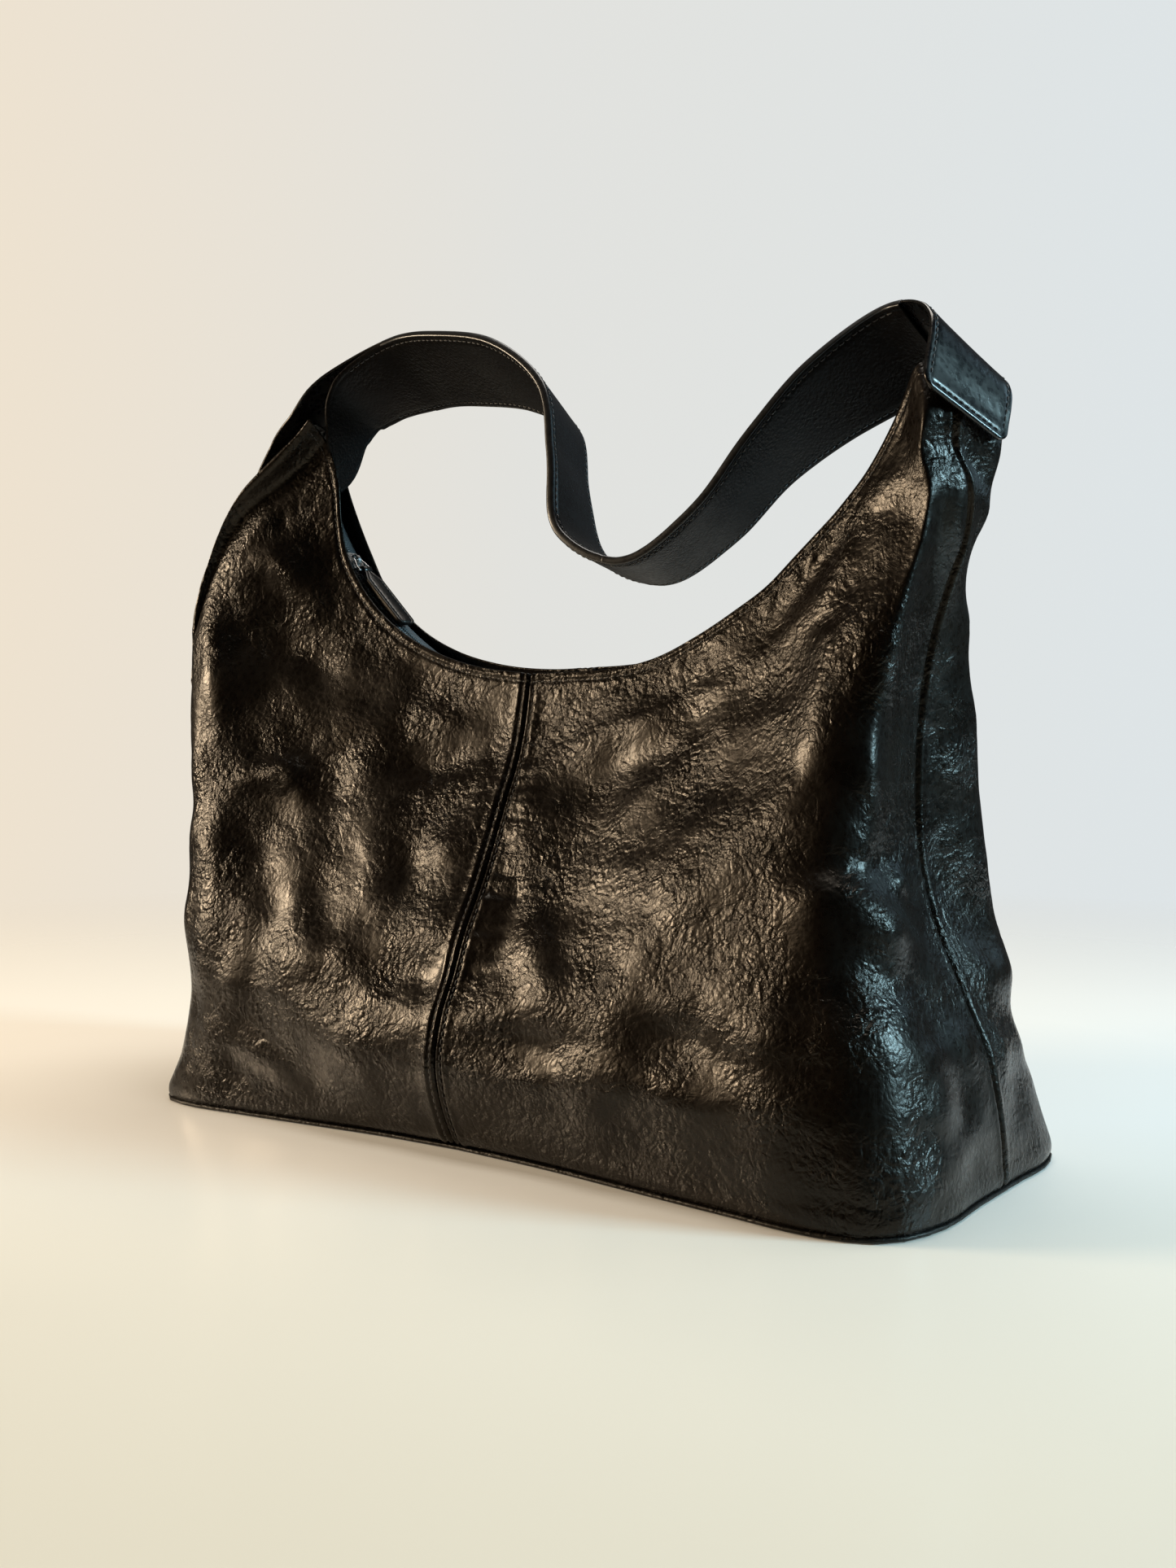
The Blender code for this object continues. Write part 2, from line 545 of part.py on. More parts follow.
for a, b in ((lo, hl), (hi_, hh)):
    # loop part: ring of quads between hole and outer arc, closed across the throat, then the tail strips
    arc = a[:10]
    holes = [b[(k) % n_h] for k in (1, 2, 3, 4, 5, 6, 7, 8, 9, 10)]
    for k in range(9):
        bm.faces.new((arc[k], arc[k + 1], holes[k + 1], holes[k]))
    up_end, low_end = a[-1], a[10]
    bm.faces.new((arc[0], holes[0], up_end))
    bm.faces.new((arc[9], low_end, holes[9]))
    bm.faces.new((holes[0], b[0], up_end))
    bm.faces.new((b[0], low_end, up_end))
    bm.faces.new((b[0], b[11], low_end))
    bm.faces.new((b[11], holes[9], low_end))
    m = len(a)
    for k in range(5):
        bm.faces.new((a[10 + k], a[11 + k], a[m - 2 - k], a[m - 1 - k]))
bmesh.ops.recalc_face_normals(bm, faces=bm.faces)
me = bpy.data.meshes.new("zip_pull_tab")
for v in bm.verts:
    v.co *= MM
if bm.calc_volume(signed=True) < 0:
    bmesh.ops.reverse_faces(bm, faces=bm.faces)
bm.to_mesh(me)
bm.free()
me.shade_smooth()
me.set_sharp_from_angle(angle=math.radians(40))
me.materials.append(PULL)
tab = bpy.data.objects.new("zip_pull_tab", me)
bpy.context.collection.objects.link(tab)
tab.parent = tab_empty


# ------------------------------------------------------------------ shoulder strap
strap_c = route([c for c, g in STRAP])
_kn = [0.0]
for (a, _), (b, _g) in zip(STRAP, STRAP[1:]):
    _kn.append(_kn[-1] + (Vector(b) - Vector(a)).length)
strap_g = route([g for c, g in STRAP], _kn)


def strap_frame(s):
    p = strap_c(s)
    t = (strap_c(min(1, s + 0.01)) - strap_c(max(0, s - 0.01))).normalized()
    g = strap_g(s)
    g = (g - t * g.dot(t)).normalized()
    return p, t, g, t.cross(g).normalized()


def shear(grid, centres, plane):
    """Slide the first rows along the strap so that the end lies in the plane square to the line it swings about."""
    t0 = (centres[1] - centres[0]).normalized()
    move = [(plane - x).dot(SWING) / t0.dot(SWING) for x in grid[0]]
    reach = min(26.0, 0.9 * (centres[-1] - centres[0]).length)
    for i, row in enumerate(grid[:-1]):
        k = 1 - (centres[i] - centres[0]).length / reach
        if k > 0:
            t = (centres[i + 1] - centres[i]).normalized()
            for j in range(len(row)):
                row[j] = row[j] + t * (move[j] * k)


def layer(name, frames, h, mat, w=STRAP_W, start=None, end=None, **kw):
    """One flat layer along a row of frames (centre, across, outer normal), between two heights over the mid-surface."""
    faces = []
    c = [f[0] for f in frames]
    for height in (h[1], h[0]):
        grid = [[p + g * (w * k / 2) + n * height for k in (-1.0, -0.5, 0.0, 0.5, 1.0)] for p, g, n in frames]
        if start is not None:
            shear(grid, c, start)
        if end is not None:
            shear(grid[::-1], c[::-1], end)
        faces.append(grid)
    return slab_grid(name, faces[0], faces[1], mat, smooth_angle=40, **kw)


H_IN = (-LAYER_GAP / 2 - LAYER_T, -LAYER_GAP / 2)
H_OUT = (LAYER_GAP / 2, LAYER_GAP / 2 + LAYER_T)
END_GAP = 0.0012          # share of the route left open at each break


def follow(s0, s1, n):
    """Frames along the strap's route."""
    out = []
    for s in steps(n, s0, s1):
        p, t, g, nn = strap_frame(s)
        out.append((p, g, nn))
    return out


brk_l, brk_r = strap_c(STRAP_BREAK_L), strap_c(STRAP_BREAK_R)
SWING = (brk_r - brk_l).normalized()      # the line the free run swings about
CUT = 0.4                                 # half the gap at each break
strap_empty = bpy.data.objects.new("strap_axis", None)
strap_empty.location = brk_l * MM
bpy.context.collection.objects.link(strap_empty)
for word, h, leather in (("strap_outer_leather", H_OUT, STRAP_OUT), ("strap_backing", H_IN, STRAP_IN)):
    layer(word, follow(STRAP_BREAK_L, STRAP_BREAK_R, 48), h, leather, start=brk_l + SWING * CUT, end=brk_r - SWING * CUT,
          parent=strap_empty, origin=tuple(brk_l))


def unit_frames(rows):
    return [(Vector(p), Vector(g).normalized(), Vector(n).normalized()) for p, g, n in rows]


# right: over the bend, then sewn flat on the outside of the peak; the backing turns down inside it
layer("strap_end_outer_right", follow(STRAP_BREAK_R + END_GAP, 1.0, 18), H_OUT, STRAP_OUT, start=brk_r + SWING * CUT)
layer("strap_end_inner_right", follow(STRAP_BREAK_R + END_GAP, 0.885, 7), H_IN, STRAP_IN, start=brk_r + SWING * CUT)
# left: the backing is sewn inside the peak, the outer leather turns outwards onto its shoulder
layer("strap_end_inner_left", follow(0.012, STRAP_BREAK_L - END_GAP, 14), H_IN, STRAP_IN, end=brk_l - SWING * CUT)
stand = []                       # the outer leather stands off the backing while it turns
for share, off in ((0.046, 9.5), (0.062, 6.0), (0.080, 3.2), (0.098, 1.4), (0.118, 0.3)):
    p, t, g, nn = strap_frame(share)
    stand.append((p + nn * off, g, nn))
layer("strap_end_outer_left", unit_frames([((-206, 7, 317.5), (-.22, .86, -.45), (-.64, .12, .76)),
                                           ((-197, 5.5, 327), (-.22, .86, -.45), (-.62, .12, .77)),
                                           ((-186, 3.5, 337.5), (-.22, .87, -.44), (-.62, .11, .78)),
                                           ((-174, 1.5, 348), (-.20, .88, -.43), (-.66, .09, .74))])
      + stand + follow(0.130, STRAP_BREAK_L - END_GAP, 5), H_OUT, STRAP_OUT, end=brk_l - SWING * CUT)
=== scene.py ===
"""Hobo shoulder bag in glazed, creased leather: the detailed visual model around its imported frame.

Lengths in the tables below are millimetres in the bag's frame: X along the front, -Y the front, Z up.
"""
import math
import bpy
import bmesh
import numpy as np
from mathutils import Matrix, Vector, noise


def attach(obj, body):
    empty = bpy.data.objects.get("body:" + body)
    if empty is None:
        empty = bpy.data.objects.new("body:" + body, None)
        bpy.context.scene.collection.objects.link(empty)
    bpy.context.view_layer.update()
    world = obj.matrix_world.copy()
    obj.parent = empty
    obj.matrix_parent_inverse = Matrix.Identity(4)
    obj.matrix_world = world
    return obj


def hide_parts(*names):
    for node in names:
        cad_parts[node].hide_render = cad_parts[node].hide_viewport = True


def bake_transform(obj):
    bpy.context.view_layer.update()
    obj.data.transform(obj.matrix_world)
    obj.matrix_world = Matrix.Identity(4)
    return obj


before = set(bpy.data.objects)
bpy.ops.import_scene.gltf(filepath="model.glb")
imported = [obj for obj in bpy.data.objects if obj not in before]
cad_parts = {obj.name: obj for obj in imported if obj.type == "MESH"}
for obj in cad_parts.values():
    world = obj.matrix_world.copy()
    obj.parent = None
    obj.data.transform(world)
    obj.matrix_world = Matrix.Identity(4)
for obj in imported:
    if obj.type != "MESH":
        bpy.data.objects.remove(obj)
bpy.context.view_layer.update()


MM = 0.001

# ------------------------------------------------------------------ camera
CAM_AT = (0.4584, -0.6223, 0.1902)
CAM_TURN = 36.1
cam_data = bpy.data.cameras.new("camera")
cam_data.lens = 36.99
cam_data.sensor_width = 36.0
cam_data.shift_y = -0.0381
cam_data.clip_start = 0.02
cam = bpy.data.objects.new("camera", cam_data)
cam.location = CAM_AT
cam.rotation_euler = (math.radians(90), 0, math.radians(CAM_TURN))
bpy.context.collection.objects.link(cam)
bpy.context.scene.camera = cam

# ------------------------------------------------------------------ the bag's surface, as in its CAD
PANEL_Z0 = 2.0
SEAM_GAP = 0.35
FRONT_SEAM = [(-13.3, -75.5, 2), (-13.8, -82, 13), (-14.6, -87.4, 29), (-15.1, -88.7, 41), (-16, -84, 58),
              (-17.2, -70, 87), (-18.6, -51, 119), (-20, -34, 150), (-21.2, -20, 179), (-22.2, -14, 198),
              (-22.8, -10, 214.5)]
BACK_SEAM = [(-2, 77, 2), (-2, 84, 14), (-2, 88, 30), (-2, 88, 44), (-2, 82, 64), (-2, 68, 92), (-2, 50, 124),
             (-2, 34, 155), (-2, 21, 184), (-2, 14, 202), (-2, 10, 217.5)]
SIDE_R = [(209.5, 6, 2), (209, 6, 22), (203, 6, 50), (192, 5.5, 80), (179, 5, 112), (172.5, 4.5, 148), (173, 4, 185),
          (177.5, 4, 220), (187.5, 3, 250), (197, 0, 274), (200, -7, 290), (196, -11, 303), (198, -14, 316),
          (196.5, -6, 329), (192, 3, 340)]
SIDE_L = [(-206, 0, 2), (-205, 0, 20), (-205, 0, 50), (-209, 0, 90), (-217, 0, 135), (-227, 0, 180), (-234, 0, 215),
          (-235, 0, 245), (-230, 0, 270), (-221, 0, 292), (-209, 0, 309), (-194, 0, 324), (-180, 1, 336), (-168, 2, 346)]
LIP = [(-161.5, 341), (-156.5, 332), (-152, 318), (-150, 298), (-146, 280.5), (-137, 265), (-125.5, 252), (-108, 238.5),
       (-86, 227.5), (-59, 219.3), (-22.8, 214.5), (1.4, 215), (25, 216), (48, 220), (73.5, 230.5), (92, 240.5),
       (109, 251), (123, 263.5), (136, 275), (148.6, 286), (160, 301), (168.5, 316), (175, 328)]
LIP_Y = 10.0
PEAK = {(1, -1): [(179, -17, 334), (184, -16.5, 337), (188.5, -7, 340), (192, 3, 340)],
        (1, 1): [(197, 22, 325), (201, 23, 325.5), (198, 14, 332.5), (192, 3, 340)],
        (-1, -1): [(-161, -20, 349), (-164, -20, 351), (-166, -9, 350), (-168, 2, 346)],
        (-1, 1): [(-175, 16, 329), (-179, 16, 330), (-175, 10, 338), (-168, 2, 346)]}
FULL = {(-1, -1): (13.0, 0.74, 0.28), (-1, 1): (12.0, 0.70, 0.30), (1, -1): (4.0, 0.80, 0.25), (1, 1): (5.0, 0.75, 0.25)}
# local fullness of a quarter: where along it and up it, spreads, push in X and Y
LOCAL = {(-1, -1): [(0.80, 0.20, 0.85, 0.075, -5.5, -4.5), (0.80, 0.22, 0.70, 0.12, -3.0, -2.4), (0.72, 0.25, 0.30, 0.22, 3.4, 2.6),
                    (0.68, 0.25, 0.10, 0.07, 4.5, 3.2)],
         (1, 1): [(0.86, 0.20, 0.775, 0.085, -14.5, -10.5), (0.81, 0.20, 0.655, 0.05, -4.5, -3.2),
                   (0.80, 0.25, 0.14, 0.10, -6.0, -4.4)]}
STRAP = [((-160, -8, 335), (-.20, .82, -.53)), ((-150, 6, 363), (-.13, .91, -.39)), ((-117, 12, 375), (.03, .82, -.57)),
         ((-79, 8, 372), (-.02, .81, -.58)), ((-43, 5, 363), (-.11, .85, -.52)), ((-13, 1, 342.5), (-.22, .92, -.34)),
         ((-1.5, -7, 308), (-.25, .93, -.28)), ((11.5, -14, 274), (-.13, .97, -.20)), ((45, -12, 260), (-.13, .985, -.11)),
         ((78, -5, 279.5), (-.14, .975, -.16)), ((102, 4.5, 309), (-.08, .96, -.27)), ((129.5, 14, 334), (.07, .87, -.48)),
         ((164.5, 20, 351), (.20, .75, -.63)), ((194, 4, 344), (.35, .78, -.52)), ((200, -13, 314), (.34, .83, -.44))]
ZIP_C, ZIP_R = (-3.0, 386.0), 184.5
ZIP_A0, ZIP_A1, CHAIN_A0, CHAIN_A1, SLIDER_A = 203.5, 335.0, 206.5, 332.0, 216.6
PULL_RISE, RING_L, TAB_L, TAB_W, TAB_T, BAR_H = 8.5, 9.0, 42.0, 12.0, 2.8, 3.9


def smooth(t):
    t = min(1.0, max(0.0, t))
    return t * t * (3 - 2 * t)


def ss(t):
    t = np.clip(t, 0.0, 1.0)
    return t * t * (3 - 2 * t)


def route(pts, knots=None):
    """Smooth curve through points; returns f(t), t in 0..1."""
    pts = [Vector(p) for p in pts]
    n = len(pts)
    if knots is None:
        knots = [0.0]
        for a, b in zip(pts, pts[1:]):
            knots.append(knots[-1] + (b - a).length)
    total = knots[-1]
    knots = [k / total for k in knots]
    tan = []
    for i in range(n):
        if i == 0:
            m = (pts[1] - pts[0]) / (knots[1] - knots[0])
        elif i == n - 1:
            m = (pts[-1] - pts[-2]) / (knots[-1] - knots[-2])
        else:
            h0, h1 = knots[i] - knots[i - 1], knots[i + 1] - knots[i]
            m = ((pts[i] - pts[i - 1]) / h0 * h1 + (pts[i + 1] - pts[i]) / h1 * h0) / (h0 + h1)
        tan.append(m)

    def f(t):
        t = min(1.0, max(0.0, t))
        i = 0
        while i < n - 2 and t > knots[i + 1]:
            i += 1
        h = knots[i + 1] - knots[i]
        s = (t - knots[i]) / h
        return (pts[i] * (2 * s ** 3 - 3 * s * s + 1) + tan[i] * (h * (s ** 3 - 2 * s * s + s))
                + pts[i + 1] * (-2 * s ** 3 + 3 * s * s) + tan[i + 1] * (h * (s ** 3 - s * s)))
    return f


def base_edge(side, fb):
    ax, r = (209.5 if side > 0 else 206.0), (22.0 if side < 0 and fb < 0 else 30.0)
    yc, ye = (75.5 if fb < 0 else 77.0), (90.5 if fb < 0 else 87.5)
    x0 = -13.3 if fb < 0 else -2.0
    y_side = 6.0 if side > 0 else 0.0
    xe = side * (ax - r)
    pts = []
    for k in range(5):
        x = x0 + (xe - x0) * k / 4
        pts.append((x, fb * (yc + (ye - yc) * smooth(abs(x - x0) / abs(xe - x0))), PANEL_Z0))
    for a in (30, 60):
        a = math.radians(a)
        pts.append((xe + side * r * math.sin(a) * 0.93, fb * (ye - r * (1 - math.cos(a)) * 0.95), PANEL_Z0))
    pts.append((side * (ax + 0.3), fb * (ye - r * 1.15), PANEL_Z0))
    pts.append((side * ax, (fb * (ye - r * 1.6) + y_side) * 0.5, PANEL_Z0))
    pts.append((side * ax, y_side, PANEL_Z0))
    return route(pts)


def lip_edge(side, fb):
    x0, z0 = (-22.8, 214.5) if fb < 0 else (-2.0, 217.5)
    src = [p for p in LIP if side * p[0] > side * x0 + 12]
    if side < 0:
        src = src[::-1]
    pts = [(x0, fb * LIP_Y, z0)]
    for x, z in src:
        lift = 3.0 * (1 - smooth(abs(x) / 120)) if fb > 0 else 0.0
        turn = side * 12.0 * smooth((z - 280) / 40) if fb > 0 else 0.0
        pts.append((x + turn, fb * LIP_Y, z + lift))
    pts += PEAK[(side, fb)]
    kn = [0.0]
    for a, b in zip(pts[:-4], pts[1:-3]):
        kn.append(kn[-1] + (Vector(b) - Vector(a)).length)
    kn = [0.80 * k / kn[-1] for k in kn] + [0.87, 0.93, 1.0]
    return route(pts, kn)


def arr(f, ts):
    return np.array([tuple(f(float(t))) for t in ts])


def quarter_grid(side, fb, us, vs):
    """The quarter's surface on a grid of u (centre seam to side seam) and v (base to top): array [v, u, xyz], mm."""
    us, vs = np.asarray(us, float), np.asarray(vs, float)
    bf, mf = base_edge(side, fb), lip_edge(side, fb)
    ff, sf = route(FRONT_SEAM if fb < 0 else BACK_SEAM), route(SIDE_R if side > 0 else SIDE_L)
    B, M, F, S = arr(bf, us), arr(mf, us), arr(ff, vs), arr(sf, vs)
    b0, b1, m0, m1 = (np.array(tuple(c)) for c in (bf(0), bf(1), mf(0), mf(1)))
    u, v = us[None, :, None], vs[:, None, None]
    ruled = B[None] * (1 - v) + M[None] * v
    df = F[:, None] - (b0 * (1 - v) + m0 * v)
    ds = np.repeat(S[:, None] - (b1 * (1 - v) + m1 * v), len(us), axis=1)
    ds[..., 1] *= us[None, :] ** 4
    amp, u0, w = FULL[(side, fb)]
    g = amp * np.exp(-((u - u0) / w) ** 2) * ss(u / 0.25) * ss((1 - u) / 0.30) * ss(v / 0.55) * ss((1 - v) / 0.28)
    P = ruled + df * (1 - u) + ds * u
    P[..., 0] += (side * 0.8 * g)[..., 0]
    P[..., 1] += (fb * 0.6 * g)[..., 0]
    ends = (ss(u / 0.25) * ss((1 - u) / 0.14) * ss(v / 0.06) * ss((1 - v) / 0.06))[..., 0]
    for a, wa, b, wb, dx, dy in LOCAL.get((side, fb), ()):
        k = ends * np.exp(-((u - a) / wa) ** 2 - ((v - b) / wb) ** 2)[..., 0]
        P[..., 0] += dx * k
        P[..., 1] += dy * k
    return P


def blur(a, n):
    for _ in range(n):
        p = np.pad(a, ((1, 1), (1, 1)) + ((0, 0),) * (a.ndim - 2), mode="edge")
        a = (p[:-2, 1:-1] + p[2:, 1:-1] + p[1:-1, :-2] + p[1:-1, 2:] + 2 * p[1:-1, 1:-1]) / 6
    return a


def grid_normals(P, side, fb, soft=0):
    du, dv = np.gradient(P, axis=1), np.gradient(P, axis=0)
    n = np.cross(du, dv) * (-1 if side * fb > 0 else 1)
    n /= np.linalg.norm(n, axis=2, keepdims=True) + 1e-9
    if soft:
        n = blur(n, soft)
    for col, keep in ((0, 0), (-1, 1)):
        n[:, col, keep] = 0.0
    n /= np.linalg.norm(n, axis=2, keepdims=True) + 1e-9
    return n


def nz(P, size, seed=0.0):
    q = (P.reshape(-1, 3) / np.asarray(size, float) + seed).tolist()
    return np.array([noise.noise(p) for p in q]).reshape(P.shape[:-1])


def ridge(a, b, pts, height, w_l, w_r=None):
    """A long soft fold over the line through pts in plane (a, b): gaussian flanks of two widths, fading at its ends."""
    w_r = w_r or w_l
    best = np.full(a.shape, 1e9)
    out = np.zeros(a.shape)
    seg = [math.hypot(q[0] - p[0], q[1] - p[1]) for p, q in zip(pts, pts[1:])]
    total, run = sum(seg), 0.0
    for (p, q), ln in zip(zip(pts, pts[1:]), seg):
        dx, dy = (q[0] - p[0]) / ln, (q[1] - p[1]) / ln
        t = np.clip(((a - p[0]) * dx + (b - p[1]) * dy) / ln, 0, 1)
        ex, ey = a - (p[0] + dx * ln * t), b - (p[1] + dy * ln * t)
        d = np.hypot(ex, ey)
        side = np.sign(dx * (b - p[1]) - dy * (a - p[0]))
        w = np.where(side > 0, w_l, w_r)
        s = (run + t * ln) / total
        h = np.exp(-(d / w) ** 2) * (0.15 + 0.85 * np.sin(np.pi * np.clip(s, 0.02, 0.98)) ** 0.6)
        take = d < best
        out = np.where(take, h, out)
        best = np.minimum(best, d)
        run += ln
    return height * out


def dome(a, b, c, height, w, stretch=1.0, turn=0.0):
    """A single soft bump or pit."""
    k = math.radians(turn)
    x, y = a - c[0], b - c[1]
    p, q = x * math.cos(k) + y * math.sin(k), -x * math.sin(k) + y * math.cos(k)
    return height * np.exp(-(p / (w * stretch)) ** 2 - (q / w) ** 2)


# folds of the front, in X and Z: line, height, width on its left, width on its right
FRONT_FOLDS = [
    ([(-223, 265), (-203, 205), (-191, 172)], 2.2, 9, 7),
    ([(-183, 160), (-153, 166), (-134, 149)], 3.2, 9, 8),
    ([(-199, 272), (-185, 278), (-151, 246)], 2.4, 8, 8),
    ([(-195, 246), (-157, 224), (-119, 204)], -2.6, 10, 12),
    ([(-163, 150), (-150, 118), (-134, 97), (-133, 48)], -3.2, 11, 12),
    ([(-188, 150), (-176, 110), (-172, 60)], 2.2, 11, 11),
    ([(-170, 30), (-116, 20)], -1.6, 6, 8),
    ([(-92, 196), (-58, 190)], 2.4, 9, 12),
    ([(-100, 170), (-66, 168), (-40, 176)], -2.2, 8, 9),
    ([(-112, 150), (-85, 128), (-72, 96)], 1.8, 14, 11),
    ([(-64, 130), (-60, 112), (-46, 106)], -1.4, 7, 7),
    ([(-80, 70), (-50, 63), (-34, 74)], 1.7, 9, 9),
    ([(-11, 167), (12, 180), (54, 193), (90, 206)], 1.8, 6, 12),
    ([(8, 158), (34, 168), (62, 172)], -1.4, 9, 12),
    ([(40, 140), (58, 158), (84, 176)], 1.1, 7, 9),
    ([(146, 172), (132, 152), (108, 124), (84, 106)], 2.6, 13, 17),
    ([(152, 232), (150, 200), (152, 176)], 2.4, 9, 13),
    ([(152, 284), (138, 260), (116, 232), (96, 218)], -2.0, 7, 9),
    ([(158, 280), (150, 256), (140, 236)], 1.8, 6, 8),
    ([(10, 104), (26, 92), (46, 68)], 1.6, 9, 11),
    ([(-8, 130), (4, 110), (2, 84)], -1.2, 6, 8),
    ([(60, 92), (92, 70), (126, 62)], -1.3, 14, 12),
    ([(-206, 285), (-190, 300), (-176, 300)], 1.6, 6, 7),
]
FRONT_DOMES = [
    ((-152, 165), 1.8, 8, 1.5, 20), ((-182, 299), -2.2, 5, 1.0, 0), ((-176, 276), 1.6, 8, 1.6, 20),
    ((-89, 100), 2.6, 22, 1.3, 70), ((-45, 131), 2.0, 8, 1.1, 0), ((-48, 150), -1.3, 8, 1.4, 30),
    ((-130, 214), 1.7, 11, 1.4, -30), ((-150, 60), 1.6, 14, 1.2, 60), ((-196, 235), -1.6, 8, 1.3, 60),
    ((22, 92), 1.4, 9, 1.2, 60), ((32, 138), -1.4, 15, 1.4, 60), ((-66, 176), -1.2, 10, 1.5, 10),
    ((95, 165), -1.0, 12, 1.6, 40), ((-120, 36), -1.2, 9, 1.5, 0), ((-108, 168), 1.2, 9, 1.3, 30),
]
# folds of the right-hand end, in Y and Z
SIDE_FOLDS = [
    ([(-84, 118), (-62, 122), (-34, 110), (-16, 96)], 3.4, 8, 13),
    ([(-70, 140), (-44, 134), (-18, 138)], -2.2, 7, 7),
    ([(-62, 92), (-38, 88), (-14, 76)], -1.8, 7, 9),
    ([(-46, 190), (-36, 160), (-30, 142)], 1.6, 7, 9),
    ([(-34, 262), (-30, 224), (-26, 190)], 1.7, 6, 8),
    ([(-72, 66), (-46, 62), (-18, 58)], 1.6, 8, 9),
    ([(-70, 36), (-44, 30), (-20, 34)], -1.8, 7, 8),
    ([(-12, 288), (-6, 272), (4, 256)], 2.2, 4, 6),
    ([(-20, 282), (-14, 262), (-8, 248)], -1.6, 4, 5),
    ([(16, 96), (34, 84), (60, 80)], 2.0, 8, 10),
    ([(14, 130), (26, 116), (48, 108)], -1.8, 8, 9),
    ([(14, 220), (24, 180), (30, 150)], 1.8, 7, 9),
    ([(20, 44), (48, 40), (74, 46)], -1.5, 8, 8),
]
SIDE_DOMES = [((-24, 127), 2.8, 5, 1.2, 0), ((-45, 108), 3.0, 10, 1.4, -20), ((-62, 14), 1.6, 6, 1.4, 0),
              ((-40, 46), 1.4, 9, 1.5, 0), ((-24, 18), -1.2, 7, 1.4, 0), ((40, 130), 1.4, 12, 1.2, 40)]
BACK_FOLDS = [
    ([(-190, 250), (-160, 215), (-120, 195)], -2.4, 10, 12), ([(-200, 150), (-150, 140), (-120, 110)], 2.6, 11, 12),
    ([(-60, 180), (-30, 186), (30, 180)], 1.8, 9, 11), ([(20, 120), (60, 140), (110, 150)], 2.4, 11, 12),
    ([(60, 100), (110, 90), (150, 110)], -2.0, 11, 12), ([(-110, 90), (-80, 60), (-30, 50)], 1.8, 10, 12),
    ([(120, 240), (140, 200), (150, 150)], 2.2, 9, 12), ([(-150, 60), (-110, 40), (-60, 36)], -1.6, 9, 11),
    ([(-60, 130), (-40, 100), (-44, 80)], -1.5, 9, 9), ([(130, 50), (90, 40), (40, 46)], 1.5, 10, 12),
]


def mm_steps(first, pitch, total):
    """Distances from an edge: fine beside it, then an even pitch."""
    out = list(first)
    n = max(1, int(round((total - first[-1]) / pitch)))
    out += [first[-1] + (total - first[-1]) * (i + 1) / n for i in range(n)]
    return out


EDGE = [0.0, 0.5, 1.0, 1.6, 2.3, 3.0, 3.7, 4.5, 5.6, 7.0]


def shares(total, pitch):
    """0..1 with both ends fine."""
    a = mm_steps(EDGE, pitch, total / 2)
    b = [total - x for x in a[::-1]][1:]
    return np.array(a + b) / total


